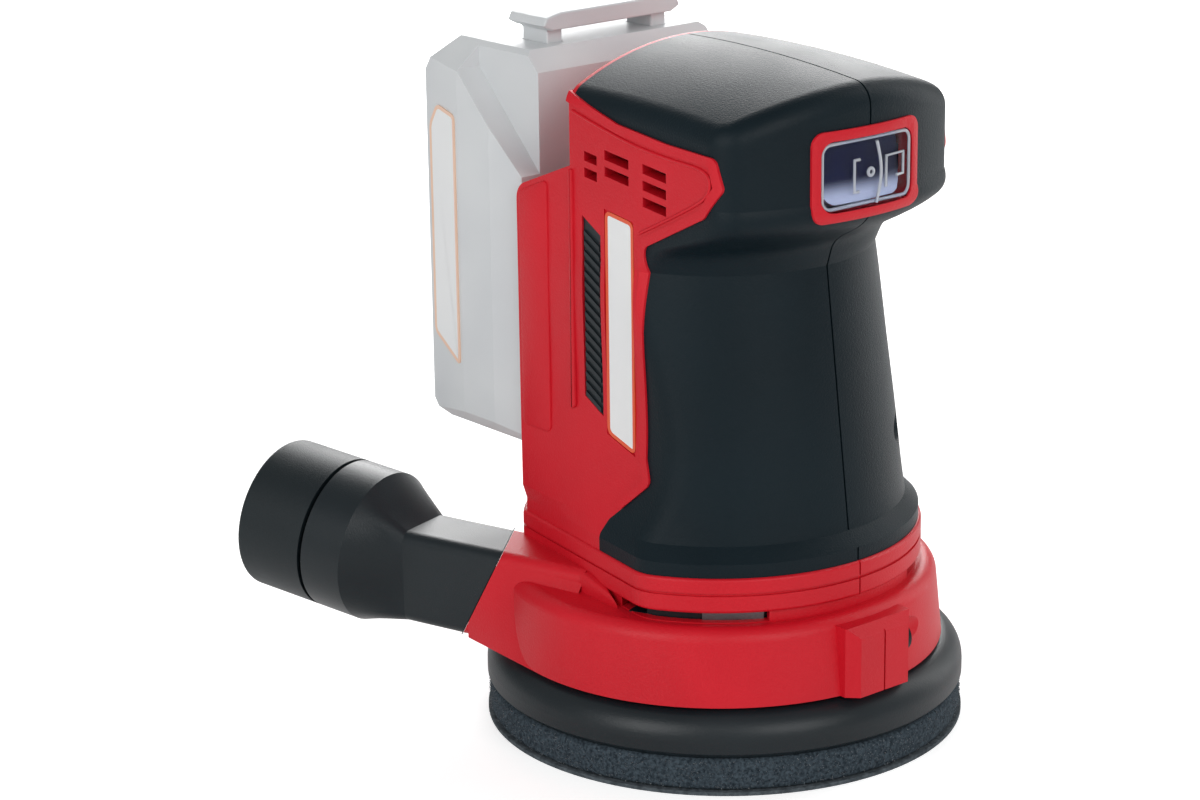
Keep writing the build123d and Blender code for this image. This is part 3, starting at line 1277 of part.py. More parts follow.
def switch_pieces():
    """Rocker on its pivot and the switch body behind it, with two ears that carry the pivot."""
    pivot = Pos(0, pivot_y, window_z)
    turned = pivot * Rot(0, 90, 0)
    front = slab(-FAR, FAR, -FAR, pivot_y - ROCKER_SET, 0, FAR)
    rocker = body_form(BOOT_THICK + ROCKER_GAP) & front & window(ROCKER_HALF, ROCKER_HEIGHT)
    rocker += turned * disc(PIVOT_HUB, -ROCKER_HALF, ROCKER_HALF)
    rocker += turned * disc(PIVOT_RADIUS, -ear_x - EAR_THICK, ear_x + EAR_THICK)
    rocker = pivot * Rot(-ROCKER_TILT, 0, 0) * pivot.inverse() * rocker
    half, face = SWITCH_WIDTH / 2, pivot_y + PIVOT_RADIUS + ROCKER_SET
    low, high = window_z - EAR_HALF, window_z + EAR_HALF
    body = slab(-half, half, face, face + SWITCH_DEPTH, shelf_top, window_z + SWITCH_RISE)
    for side in (-1, 1):
        outer = side * (ear_x + EAR_THICK)
        x0, x1 = sorted((side * ear_x, outer))
        body += slab(x0, x1, pivot_y - PIVOT_RADIUS - HOLDER_WALL, face + EAR_ROOT, low, high)
        x0, x1 = sorted((side * (half - 1), outer))
        body += slab(x0, x1, face, face + EAR_ROOT, low, high)
    body -= turned * disc(PIVOT_RADIUS + RUN, -FAR, FAR)
    return {"switch_rocker": rocker, "switch_body": body}


def on_board(x0, x1, y0, y1, thick):
    """Flat part lying on the control board, from the board's front edge."""
    return slab(x0, x1, BOARD_FRONT + y0, BOARD_FRONT + y1, board_top, board_top + thick)


def board_pieces():
    """Control board with its heat sink, chip and capacitor."""
    x0, x1, y0, y1, thick = SINK_BASE
    wide, tall = SINK_FIN
    sink = on_board(*SINK_BASE)
    for step in range(SINK_FINS):
        start = y0 + 1 + step * (y1 - y0 - 2 - wide) / (SINK_FINS - 1)
        sink += on_board(x0, x1, start, start + wide, thick + tall)
    x, y, radius, height = CAPACITOR
    capacitor = Pos(x, BOARD_FRONT + y) * disc(radius, board_top, board_top + height)
    return {
        "control_board": slab(-BOARD_HALF, BOARD_HALF, BOARD_FRONT, BOARD_REAR, board_low, board_top),
        "board_parts": Compound(children=[sink, on_board(*CHIP), capacitor]),
    }


def terminal_pieces():
    """Block of contact blades in the dock wall, and the leads to the board and the brushes."""
    back = dock_wall - WALL - TERMINAL_BACK
    block = slab(-TERMINAL_HALF, TERMINAL_HALF, back, dock_wall, terminal_low, terminal_high)
    blades = [slab(x - BLADE_THICK / 2, x + BLADE_THICK / 2, back, dock_wall + BLADE_REACH,
                   blade_low, blade_top) for x in blade_places()]
    start, loop, end = terminal_low + LEAD_START, board_top + LEAD_LOOP, BOARD_REAR - LEAD_EDGE
    leads, motor_leads = [], []
    for side in (-1, 1):
        x = side * LEAD_X
        path = FilletPolyline((x, back, start), (x, LEAD_Y, start), (x, LEAD_Y, neck_level + 2),
                              (x, LEAD_RISE_Y, shelf_top - 2), (x, LEAD_RISE_Y, loop),
                              (x, end, loop), (x, end, board_top), radius=LEAD_BEND)
        leads.append(sweep(Plane(path @ 0, z_dir=path % 0) * Circle(LEAD_RADIUS), path))
        motor_leads.append(Pos(side * MOTOR_LEAD_X, 0) * disc(LEAD_RADIUS, holder_high, board_low))
    return {
        "terminal_block": block - blades,
        "terminal_blades": Compound(children=blades),
        "battery_leads": Compound(children=leads),
        "motor_leads": Compound(children=motor_leads),
    }


def housing_screws():
    """Screws that clamp the two shells together."""
    return Compound(children=[screw_line(*screw) for screw in SCREWS])


def main():
    """Build every piece and write one file for each."""
    pieces = housing_and_grip()
    for make in (pad_pieces, drive_pieces, motor_case, brush_gear, rotor_pieces, bearing_pieces,
                 dust_pieces, pack_case, cell_pieces, pack_contacts, button_pieces, switch_pieces,
                 board_pieces, terminal_pieces):
        pieces.update(make())
    for side, name in ((1, "left"), (-1, "right")):
        pieces[f"side_insert_{name}"] = side_insert(side)
    pieces["housing_screws"] = housing_screws()
    for name, piece in pieces.items():
        export_step(piece, f"parts/{name}.step")
        print(name, round(piece.volume), "mm3 in", len(piece.solids()), "solids")


main()
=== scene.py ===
# %% [markdown]
# # A cordless random orbital sander, dressed for a studio picture
# The measured solids of the tool come in first and stay where they are. Everything in this lesson is
# then added around them: finishes for the moulded parts, small modelled details, a floor and soft light.
# Sizes in the frame are metres, so lengths below are written in millimetres times MM.

# %% Load the measured frame
import json
import math
import random

import bmesh
import bpy
from mathutils import Matrix, Vector


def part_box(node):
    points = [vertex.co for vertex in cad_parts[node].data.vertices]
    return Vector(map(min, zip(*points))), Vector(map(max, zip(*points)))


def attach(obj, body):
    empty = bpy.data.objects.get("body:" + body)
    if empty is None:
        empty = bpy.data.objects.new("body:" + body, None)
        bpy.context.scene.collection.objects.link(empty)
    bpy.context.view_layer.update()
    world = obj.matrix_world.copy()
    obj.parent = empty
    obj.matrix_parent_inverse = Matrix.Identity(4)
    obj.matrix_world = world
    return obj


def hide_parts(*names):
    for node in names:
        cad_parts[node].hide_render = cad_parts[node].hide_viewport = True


MM = 0.001
TINY = 1e-6
WHITE = (1, 1, 1, 1)
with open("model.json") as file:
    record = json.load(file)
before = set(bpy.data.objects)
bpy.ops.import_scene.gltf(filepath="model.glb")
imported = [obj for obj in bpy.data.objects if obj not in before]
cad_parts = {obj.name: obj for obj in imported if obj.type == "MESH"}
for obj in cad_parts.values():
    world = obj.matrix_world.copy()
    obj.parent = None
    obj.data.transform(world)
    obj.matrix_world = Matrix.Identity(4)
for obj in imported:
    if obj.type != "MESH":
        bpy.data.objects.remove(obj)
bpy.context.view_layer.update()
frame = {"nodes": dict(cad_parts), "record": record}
nodes = frame["nodes"]
scene = bpy.context.scene
scene.view_settings.view_transform = "Standard"

# %% [markdown]
# ## The camera
# The picture was taken from in front of the tool, a little to its right side and above. The place and the
# three directions come from fitting the round pad's ellipse and the upright edges of the grip. A long lens
# keeps the perspective mild. The camera could also be aimed with a constraint, but a plain matrix is exact.

# %% Camera
CAMERA_PLACE = Vector((-526.6, -586.4, 328.1)) * MM
CAMERA_AZIMUTH = -39.69
CAMERA_ELEVATION = 17.23
CAMERA_ROLL = -0.774
LENS_MM = 96.0
SENSOR_MM = 36.0


def aimed(azimuth, elevation, roll):
    """Rotation of a camera that looks along +Y at azimuth 0, turned round its own axis by roll."""
    turn = Matrix.Rotation(math.radians(azimuth), 4, "Z")
    tilt = Matrix.Rotation(math.radians(90 - elevation), 4, "X")
    return turn @ tilt @ Matrix.Rotation(math.radians(roll), 4, "Z")


lens = bpy.data.cameras.new("camera")
lens.lens = LENS_MM
lens.sensor_width = SENSOR_MM
camera = bpy.data.objects.new("camera", lens)
camera_turn = aimed(CAMERA_AZIMUTH, CAMERA_ELEVATION, CAMERA_ROLL)
camera.matrix_world = Matrix.Translation(CAMERA_PLACE) @ camera_turn
scene.collection.objects.link(camera)
scene.camera = camera
print("camera looks along", [round(v, 4) for v in -camera.matrix_world.col[2].xyz])

# %% [markdown]
# ## The sky
# A studio sweep is white everywhere. A white sky that also lights the tool at full strength would wash out
# the black mouldings, so the sky is white to the camera and through glass, and dimmer as a light. Mirrored
# rays see the dimmer sky too: that keeps the black dark, but leaves metal duller than it would be in a white
# room. A backdrop panel could stand for the sky, but it would show in views from other sides.

# %% Sky
SKY_WHITE = 1.0
SKY_LIGHT = 0.34


def seen_directly(tree):
    """1 for rays that come from the camera, straight or through glass; 0 for all other rays."""
    rays = tree.nodes.new("ShaderNodeLightPath")
    either = tree.nodes.new("ShaderNodeMath")
    either.operation = "MAXIMUM"
    tree.links.new(rays.outputs["Is Camera Ray"], either.inputs[0])
    tree.links.new(rays.outputs["Is Transmission Ray"], either.inputs[1])
    return either.outputs[0]


world = bpy.data.worlds.new("studio")
scene.world = world
world.use_nodes = True
sky = world.node_tree.nodes["Background"]
sky.inputs["Color"].default_value = WHITE
level = world.node_tree.nodes.new("ShaderNodeMapRange")
level.inputs["To Min"].default_value = SKY_LIGHT
level.inputs["To Max"].default_value = SKY_WHITE
world.node_tree.links.new(seen_directly(world.node_tree), level.inputs["Value"])
world.node_tree.links.new(level.outputs["Result"], sky.inputs["Strength"])
print("sky", SKY_WHITE, "to the camera,", SKY_LIGHT, "as a light")

# %% [markdown]
# ## The floor
# The tool stands on a pale table that runs out of the picture. One large plane is enough. It keeps the soft
# shadow that seats the tool, and a little glow, seen only by the camera and through glass, turns its colour
# to white without putting more light on the tool.

# %% Floor
FLOOR_HALF = 6.0
FLOOR_COLOUR = 0.90
FLOOR_ROUGH = 0.9
FLOOR_SPECULAR = 0.1
FLOOR_GLOW = 0.48

bm = bmesh.new()
bmesh.ops.create_grid(bm, x_segments=1, y_segments=1, size=FLOOR_HALF)
floor_mesh = bpy.data.meshes.new("floor")
bm.to_mesh(floor_mesh)
bm.free()
floor = bpy.data.objects.new("floor", floor_mesh)
scene.collection.objects.link(floor)
floor_paint = bpy.data.materials.new("floor_paint")
floor_paint.use_nodes = True
floor_tree = floor_paint.node_tree
floor_shader = floor_tree.nodes["Principled BSDF"]
floor_shader.inputs["Base Color"].default_value = (FLOOR_COLOUR, FLOOR_COLOUR, FLOOR_COLOUR, 1)
floor_shader.inputs["Roughness"].default_value = FLOOR_ROUGH
floor_shader.inputs["Specular IOR Level"].default_value = FLOOR_SPECULAR
floor_shader.inputs["Emission Color"].default_value = WHITE
glow = floor_tree.nodes.new("ShaderNodeMath")
glow.operation = "MULTIPLY"
glow.inputs[1].default_value = FLOOR_GLOW
floor_tree.links.new(seen_directly(floor_tree), glow.inputs[0])
floor_tree.links.new(glow.outputs[0], floor_shader.inputs["Emission Strength"])
floor_mesh.materials.append(floor_paint)
print("floor", 2 * FLOOR_HALF, "m wide")

# %% [markdown]
# ## The lamps
# Four soft boxes model the forms: one behind for the sheen on the head, one broad box on the left for the red
# panel, a slim one on the right and one in front. Point lamps would give hard spots on the gloss, and one big
# lamp would flatten the grip, so each is a rectangle turned towards the middle of the tool.

# %% Lamps
AIM = Vector((0, 0, 90)) * MM


def softbox(name, place, width, height, power):
    """Rectangular area lamp at place, in metres and watts, turned towards the middle of the tool."""
    lamp = bpy.data.lights.new(name, "AREA")
    lamp.shape = "RECTANGLE"
    lamp.size = width
    lamp.size_y = height
    lamp.energy = power
    holder = bpy.data.objects.new(name, lamp)
    holder.location = place
    holder.rotation_mode = "QUATERNION"
    holder.rotation_quaternion = (AIM - holder.location).to_track_quat("-Z", "Y")
    scene.collection.objects.link(holder)


softbox("back_lamp", Vector((0.78, 0.94, 0.64)), width=1.0, height=0.8, power=15)
softbox("left_lamp", Vector((-1.35, -0.25, 0.65)), width=0.8, height=1.0, power=8)
softbox("right_lamp", Vector((1.0, -0.15, 0.5)), width=0.35, height=1.1, power=3.5)
softbox("front_lamp", Vector((-0.25, -1.35, 0.75)), width=0.8, height=0.8, power=7)

# %% [markdown]
# ## Two shared surface effects
# Moulded plastic and soft rubber both carry a fine spark-eroded grain and slow changes of gloss where hands
# have been. Both are noise on object coordinates, so they are built once as node groups: one gives a height
# for a Bump node, the other a slow mask that is used to vary roughness and colour.

# %% Grain and cloud groups
GRAIN_DETAIL, GRAIN_ROUGHNESS = 3.0, 0.65
CLOUD_DETAIL, CLOUD_DISTORTION = 2.0, 0.4
CLOUD_LOW, CLOUD_HIGH = 0.3, 0.7


def texture_group(name, build):
    """Node group with a Scale input and a Value output, filled in by build(tree, place, scale)."""
    group = bpy.data.node_groups.new(name, "ShaderNodeTree")
    group.interface.new_socket("Scale", in_out="INPUT", socket_type="NodeSocketFloat")
    group.interface.new_socket("Value", in_out="OUTPUT", socket_type="NodeSocketFloat")
    source = group.nodes.new("NodeGroupInput")
    target = group.nodes.new("NodeGroupOutput")
    place = group.nodes.new("ShaderNodeTexCoord").outputs["Object"]
    group.links.new(build(group, place, source.outputs["Scale"]), target.inputs["Value"])
    return group


def fine_grain(tree, place, scale):
    """Small even pits."""
    noise = tree.nodes.new("ShaderNodeTexNoise")
    noise.inputs["Detail"].default_value = GRAIN_DETAIL
    noise.inputs["Roughness"].default_value = GRAIN_ROUGHNESS
    tree.links.new(place, noise.inputs["Vector"])
    tree.links.new(scale, noise.inputs["Scale"])
    return noise.outputs["Fac"]


def slow_cloud(tree, place, scale):
    """Broad soft patches between 0 and 1."""
    noise = tree.nodes.new("ShaderNodeTexNoise")
    noise.inputs["Detail"].default_value = CLOUD_DETAIL
    noise.inputs["Distortion"].default_value = CLOUD_DISTORTION
    tree.links.new(place, noise.inputs["Vector"])
    tree.links.new(scale, noise.inputs["Scale"])
    spread = tree.nodes.new("ShaderNodeMapRange")
    spread.inputs["From Min"].default_value = CLOUD_LOW
    spread.inputs["From Max"].default_value = CLOUD_HIGH
    tree.links.new(noise.outputs["Fac"], spread.inputs["Value"])
    return spread.outputs["Result"]


GRAIN = texture_group("mould_grain", fine_grain)
CLOUD = texture_group("slow_cloud", slow_cloud)
print("groups:", GRAIN.name, CLOUD.name)

# %% [markdown]
# ## A helper for finishes
# Each finish is one Principled material. Constants sit on the shader's own sockets; only colour, roughness
# and the bump height change over the surface. Every material could be wired by hand, but the wiring is always
# the same, so a helper does it and each finish below is a short list of values.

# %% Finish helper
GRAIN_DEPTH = 0.2


def group_value(tree, group, scale):
    """Place a shared group in a material with its own scale."""
    node = tree.nodes.new("ShaderNodeGroup")
    node.node_tree = group
    node.inputs["Scale"].default_value = scale
    return node.outputs["Value"]


def finish(name, dark, light, rough, grain=0.0, grain_scale=1800.0, cloud_scale=25.0, metallic=0.0,
           specular=0.5, sheen=0.0):
    """Material between two close colours, with a roughness range and a fine moulded grain."""
    material = bpy.data.materials.new(name)
    material.use_nodes = True
    tree = material.node_tree
    shader = tree.nodes["Principled BSDF"]
    shader.inputs["Metallic"].default_value = metallic
    shader.inputs["Specular IOR Level"].default_value = specular
    shader.inputs["Sheen Weight"].default_value = sheen
    cloud = group_value(tree, CLOUD, cloud_scale)
    colour = tree.nodes.new("ShaderNodeMix")
    colour.data_type = "RGBA"
    colour.inputs["A"].default_value = (*dark, 1)
    colour.inputs["B"].default_value = (*light, 1)
    tree.links.new(cloud, colour.inputs["Factor"])
    tree.links.new(colour.outputs["Result"], shader.inputs["Base Color"])
    gloss = tree.nodes.new("ShaderNodeMapRange")
    gloss.inputs["To Min"].default_value, gloss.inputs["To Max"].default_value = rough
    tree.links.new(cloud, gloss.inputs["Value"])
    tree.links.new(gloss.outputs["Result"], shader.inputs["Roughness"])
    if grain:
        bump = tree.nodes.new("ShaderNodeBump")
        bump.inputs["Strength"].default_value = grain
        bump.inputs["Distance"].default_value = GRAIN_DEPTH * MM
        tree.links.new(group_value(tree, GRAIN, grain_scale), bump.inputs["Height"])
        tree.links.new(bump.outputs["Normal"], shader.inputs["Normal"])
    return material


print("grain depth", GRAIN_DEPTH, "mm")

# %% [markdown]
# ## Plastic and rubber
# The housing is a satin red moulding, the grip a soft blue-black skin, the adapter and the pad's backing
# black plastic, the pack pale grey. The colours are close pairs because real mouldings hardly vary, and the
# specular level is low because a textured mould gives a dull surface. A clear coat would be too shiny.

# %% Finishes of the mouldings
RED = finish("red_moulding", (0.55, 0.005, 0.015), (0.63, 0.008, 0.020), rough=(0.36, 0.46),
             grain=0.55, grain_scale=1700, specular=0.30)
GRIP = finish("soft_grip", (0.002, 0.008, 0.012), (0.003, 0.011, 0.016), rough=(0.38, 0.48),
              grain=0.6, grain_scale=1900, specular=0.18)
BLACK = finish("black_moulding", (0.004, 0.009, 0.012), (0.006, 0.012, 0.016), rough=(0.32, 0.42),
               grain=0.3, grain_scale=2200, specular=0.40)
PALE = finish("pale_moulding", (0.58, 0.60, 0.62), (0.66, 0.68, 0.69), rough=(0.38, 0.46),
              grain=0.2, grain_scale=2400, specular=0.40)
RUBBER = finish("black_rubber", (0.004, 0.009, 0.012), (0.006, 0.012, 0.015), rough=(0.42, 0.52),
                grain=0.35, grain_scale=2200, specular=0.35)
BACKING = finish("pad_backing_plastic", (0.006, 0.011, 0.014), (0.009, 0.015, 0.019), rough=(0.34, 0.46),
                 grain=0.3, specular=0.40)
print("mouldings:", [m.name for m in (RED, GRIP, BLACK, PALE, RUBBER, BACKING)])

# %% [markdown]
# ## The pad's soft surfaces
# The foam edge is speckled grey-blue and rough, its fibres are paler, and the hook sheet is matt. The same
# helper serves with a much smaller cloud, which then reads as speckle. A separate speckle texture would also
# work, but it would say the same thing twice.

# %% Finishes of the pad
FOAM = finish("pad_foam_cast", (0.010, 0.017, 0.024), (0.060, 0.082, 0.10), rough=(0.85, 0.95),
              grain=0.9, grain_scale=1400, cloud_scale=1300, specular=0.2)
FUZZ = finish("pad_fuzz", (0.022, 0.030, 0.038), (0.11, 0.135, 0.155), rough=(0.85, 0.95),
              cloud_scale=900, specular=0.2, sheen=0.5)
HOOKS = finish("hook_sheet", (0.045, 0.055, 0.064), (0.11, 0.13, 0.145), rough=(0.8, 0.9),
               grain=0.8, grain_scale=2500, cloud_scale=700, specular=0.2)
print("pad:", [m.name for m in (FOAM, FUZZ, HOOKS)])

# %% [markdown]
# ## Metals and inner parts
# The motor, the bearings and the contacts are metal: fully metallic, with the colour in the reflection. The
# board, the leads, the cells and the rocker are plastics again. Each could have a texture of its own, but
# most of them lie inside the closed tool, so plain close pairs of colours are enough.

# %% Finishes of metals and inner parts
STEEL = finish("machined_steel", (0.50, 0.51, 0.52), (0.62, 0.63, 0.64), rough=(0.25, 0.38),
               grain=0.1, grain_scale=3000, cloud_scale=60, metallic=1.0)
# Very dark steel for the screws: painted shade of the deep holes they sit in.
SCREW_STEEL_PAINTED_SHADE = finish("screw_steel_painted_shade", (0.03, 0.03, 0.032), (0.05, 0.05, 0.053), rough=(0.34, 0.45),
                    grain=0.15, grain_scale=3000, cloud_scale=60, metallic=1.0)
CAST = finish("die_cast_alloy", (0.42, 0.43, 0.44), (0.55, 0.56, 0.57), rough=(0.40, 0.55),
              grain=0.3, grain_scale=1500, cloud_scale=60, metallic=1.0)
GUARD = finish("guard_alloy", (0.15, 0.16, 0.17), (0.23, 0.24, 0.25), rough=(0.40, 0.55),
               grain=0.3, grain_scale=1500, cloud_scale=60, metallic=1.0)
MAGNET = finish("sintered_magnet", (0.05, 0.05, 0.055), (0.08, 0.08, 0.085), rough=(0.5, 0.6), grain=0.3)
COPPER = finish("copper_wire", (0.60, 0.25, 0.12), (0.72, 0.33, 0.17), rough=(0.25, 0.35),
                grain=0.2, grain_scale=900, cloud_scale=60, metallic=1.0)
BRASS = finish("stamped_brass", (0.62, 0.46, 0.20), (0.72, 0.56, 0.27), rough=(0.25, 0.35),
               grain=0.1, grain_scale=2000, cloud_scale=60, metallic=1.0)
BOARD = finish("printed_board", (0.015, 0.10, 0.04), (0.025, 0.14, 0.06), rough=(0.3, 0.4), grain=0.1)
LEADS = finish("lead_insulation", (0.30, 0.015, 0.015), (0.38, 0.02, 0.02), rough=(0.4, 0.5), grain=0.1)
ROCKER = finish("switch_navy", (0.006, 0.008, 0.026), (0.010, 0.012, 0.038), rough=(0.30, 0.40),
                grain=0.15, grain_scale=2400, specular=0.1)
CELLS = finish("cell_wrap", (0.08, 0.20, 0.36), (0.11, 0.26, 0.44), rough=(0.25, 0.3), grain=0.05)
print("finishes so far:", len(bpy.data.materials))

# %% [markdown]
# ## Finishes of the bare plates
# The plates are white with a coloured border, orange-red on the tool and faded on the pack. They could share
# the pack's pale finish, but a plate is smoother than a moulding, so its grain is almost nothing.

# %% Finishes of the plates
PLATE = finish("bare_plate_white", (0.76, 0.77, 0.78), (0.80, 0.81, 0.81), rough=(0.30, 0.36),
               grain=0.05, grain_scale=3000)
BORDER = finish("plate_border_orange", (0.70, 0.075, 0.020), (0.76, 0.10, 0.028), rough=(0.32, 0.40),
                grain=0.05, grain_scale=3000)
PALE_BORDER = finish("plate_border_pale", (0.78, 0.50, 0.36), (0.82, 0.56, 0.42), rough=(0.32, 0.40),
                     grain=0.05, grain_scale=3000)
print("finishes:", len(bpy.data.materials))

# %% [markdown]
# ## The clear cover of the switch
# The dust cover is a soft clear skin that tints what lies behind it a little blue. A thin transparent mix
# would look like film, so it is glass: full transmission, a low index of refraction, which keeps the
# reflections weak, and a slightly uneven roughness.

# %% Clear switch cover
COVER_TINT = (0.74, 0.78, 0.90, 1)
COVER_IOR = 1.14
COVER_ROUGH = (0.04, 0.10)
COVER_CLOUD = 120.0

COVER = bpy.data.materials.new("clear_cover")
COVER.use_nodes = True
cover_tree = COVER.node_tree
cover_shader = cover_tree.nodes["Principled BSDF"]
cover_shader.inputs["Base Color"].default_value = COVER_TINT
cover_shader.inputs["IOR"].default_value = COVER_IOR
cover_shader.inputs["Transmission Weight"].default_value = 1.0
cover_gloss = cover_tree.nodes.new("ShaderNodeMapRange")
cover_gloss.inputs["To Min"].default_value, cover_gloss.inputs["To Max"].default_value = COVER_ROUGH
cover_tree.links.new(group_value(cover_tree, CLOUD, COVER_CLOUD), cover_gloss.inputs["Value"])
cover_tree.links.new(cover_gloss.outputs["Result"], cover_shader.inputs["Roughness"])
print("cover index of refraction", COVER_IOR)

# %% [markdown]
# ## A painted reflection on the switch behind the cover
# Through the cover the switch looks dark navy above and pale lavender below. The switch is navy; the pale
# lower part is a painted reflection of the white table in the slanted cover. Two materials would need a cut
# in the solid, so the colour follows the height instead and turns smoothly from one to the other.

# %% Painted table reflection on the lower rocker
REFLECTION_FADE_TOP, REFLECTION_FULL_BELOW = 152.0, 147.0
# Pale lavender: painted reflection of the white table in the lower part of the cover.
TABLE_REFLECTION_TONE = (0.66, 0.68, 0.74, 1)

rocker_tree = ROCKER.node_tree
rocker_shader = rocker_tree.nodes["Principled BSDF"]
rocker_place = rocker_tree.nodes.new("ShaderNodeTexCoord").outputs["Object"]
split = rocker_tree.nodes.new("ShaderNodeSeparateXYZ")
rocker_tree.links.new(rocker_place, split.inputs["Vector"])
reflection_mask = rocker_tree.nodes.new("ShaderNodeMapRange")
reflection_mask.interpolation_type = "SMOOTHSTEP"
reflection_mask.inputs["From Min"].default_value = REFLECTION_FADE_TOP * MM
reflection_mask.inputs["From Max"].default_value = REFLECTION_FULL_BELOW * MM
rocker_tree.links.new(split.outputs["Z"], reflection_mask.inputs["Value"])
reflection_mix = rocker_tree.nodes.new("ShaderNodeMix")
reflection_mix.data_type = "RGBA"
navy = rocker_shader.inputs["Base Color"].links[0].from_socket
rocker_tree.links.new(reflection_mask.outputs["Result"], reflection_mix.inputs["Factor"])
rocker_tree.links.new(navy, reflection_mix.inputs["A"])
reflection_mix.inputs["B"].default_value = TABLE_REFLECTION_TONE
rocker_tree.links.new(reflection_mix.outputs["Result"], rocker_shader.inputs["Base Color"])
print("rocker tones meet at", (REFLECTION_FADE_TOP + REFLECTION_FULL_BELOW) / 2, "mm")

# %% [markdown]
# ## The pale ridges of the cover
# The moulded lines on the cover catch the light and look milky. Plain glass would lose them and plain white
# would look painted on, so their finish lets part of the light through.

# %% Finish of the ridges
RIDGE_CLEAR = 0.4
RIDGE = finish("cover_ridge", (0.62, 0.65, 0.72), (0.72, 0.75, 0.80), rough=(0.15, 0.25),
               grain=0.05, grain_scale=3000)
RIDGE.node_tree.nodes["Principled BSDF"].inputs["Transmission Weight"].default_value = RIDGE_CLEAR
print("ridges transmit", RIDGE_CLEAR)

# %% [markdown]
# ## Dressing the measured pieces
# The record names a material slot for every solid, so one table from slot to finish dresses them all. Naming
# a finish for each solid would also work, but the table is shorter. The clamping screws sit in deep holes,
# and their very dark steel is painted shade of those holes; the switch lies behind the cover. So these get
# finishes of their own.

# %% Slots to finishes
SLOT_FINISH = {
    "red_plastic": RED, "grip_rubber": GRIP, "clear_boot": COVER, "black_plastic": BLACK,
    "pale_plastic": PALE, "black_rubber": RUBBER, "pad_plastic": BACKING, "pad_foam": FOAM,
    "hook_sheet": HOOKS, "board_green": BOARD, "component_black": BLACK, "lead_insulation": LEADS,
    "steel": STEEL, "die_cast": CAST, "magnet": MAGNET, "copper": COPPER, "brass_contact": BRASS,
    "cell_wrap": CELLS,
}
OWN_FINISH = {"housing_screws": SCREW_STEEL_PAINTED_SHADE, "battery_screws": SCREW_STEEL_PAINTED_SHADE,
              "switch_rocker": ROCKER, "switch_body": ROCKER}
node_slot = {part["node"]: part["material_slot"] for part in frame["record"]["subparts"]}
for name, obj in nodes.items():
    obj.data.materials.clear()
    obj.data.materials.append(OWN_FINISH.get(name, SLOT_FINISH[node_slot[name]]))
print("dressed", len(nodes), "solids")

# %% [markdown]
# ## Helpers for the added pieces
# Every added piece ends the same way: its faces are turned outwards, it becomes a mesh with smooth faces and
# sharp creases, and it is told which body it moves with. Pulling a face up into a solid and rounding its
# edges also come back several times, so both have a helper.

# %% Piece helpers
CREASE_DEG = 35.0


def keep(name, bm, finishes, body, smooth=True):
    """Make a finished bmesh into a piece that rides on a body."""
    bmesh.ops.recalc_face_normals(bm, faces=bm.faces)
    loose = sum(not edge.is_manifold for edge in bm.edges)
    mesh = bpy.data.meshes.new(name)
    bm.to_mesh(mesh)
    bm.free()
    for material in finishes:
        mesh.materials.append(material)
    if smooth:
        mesh.shade_smooth()
        mesh.set_sharp_from_angle(angle=math.radians(CREASE_DEG))
    piece = bpy.data.objects.new(name, mesh)
    scene.collection.objects.link(piece)
    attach(piece, body)
    print(name, "faces", len(mesh.polygons), "open edges", loose)
    return piece


def pull_up(bm, faces, shift):
    """Extrude faces into a solid by a shift in metres; gives back the corners that moved."""
    grown = bmesh.ops.extrude_face_region(bm, geom=faces)["geom"]
    raised = [part for part in grown if isinstance(part, bmesh.types.BMVert)]
    bmesh.ops.translate(bm, verts=raised, vec=shift)
    return raised


def round_over(bm, edges, size, segments):
    """Round some edges by a size in millimetres."""
    bmesh.ops.bevel(bm, geom=edges, offset=size * MM, offset_type="OFFSET", segments=segments,
                    profile=0.5, affect="EDGES", material=-1)


print("creases from", CREASE_DEG, "degrees")

# %% [markdown]
# ## A thin plate on a side wall
# Several mouldings are thin plates on the flat sides: the bare plates, a bead and a cheek. A scaled cube
# could stand for them, but their outlines are slanted, so each starts as a flat outline that is pulled up,
# and then its upright corners and its rim are rounded.

# %% Side plate helper
CORNER_STEPS, RIM_STEPS = 5, 2
FACES_SIDEWAYS = 0.9


def side_plate(outline, x, thick, corner, edge):
    """Flat plate standing off the side plane x by thick; outline as (y, z), all in millimetres."""
    bm = bmesh.new()
    face = bm.faces.new([bm.verts.new(Vector((x, y, z)) * MM) for y, z in outline])
    pull_up(bm, [face], (thick * MM, 0, 0))
    bmesh.ops.recalc_face_normals(bm, faces=bm.faces)
    half_thick = abs(thick) * MM / 2
    posts = [e for e in bm.edges if abs(e.verts[0].co.x - e.verts[1].co.x) > half_thick]
    round_over(bm, posts, corner, CORNER_STEPS)
    top = (x + thick) * MM
    rim = [e for e in bm.edges if all(abs(v.co.x - top) < TINY for v in e.verts)]
    if edge:
        round_over(bm, rim, edge, RIM_STEPS)
    return bm


def outward_face(bm):
    """The large flat face on the far side of a plate."""
    flat = [f for f in bm.faces if abs(f.normal.x) > FACES_SIDEWAYS]
    return max(flat, key=lambda f: (abs(f.calc_center_median().x), f.calc_area()))


print("plate corners have", CORNER_STEPS, "steps")

# %% [markdown]
# ## The bare plate on the tool
# The real tool carries a white plate with an orange-red border in a shallow seat beside the grip. It stays
# bare here. The border could be a second piece laid on top, but insetting the front face gives it at once:
# the border keeps its own finish and the field turns white.

# %% Plate on the tool
SIDE_X = -37.6
PLATE_OUTLINE = ((-11.0, 79.4), (-0.4, 82.8), (-0.4, 140.2), (-11.0, 138.8))
PLATE_THICK = 0.35
PLATE_CORNER = 1.8
PLATE_BORDER = 1.0
FIELD_SINK = 0.06


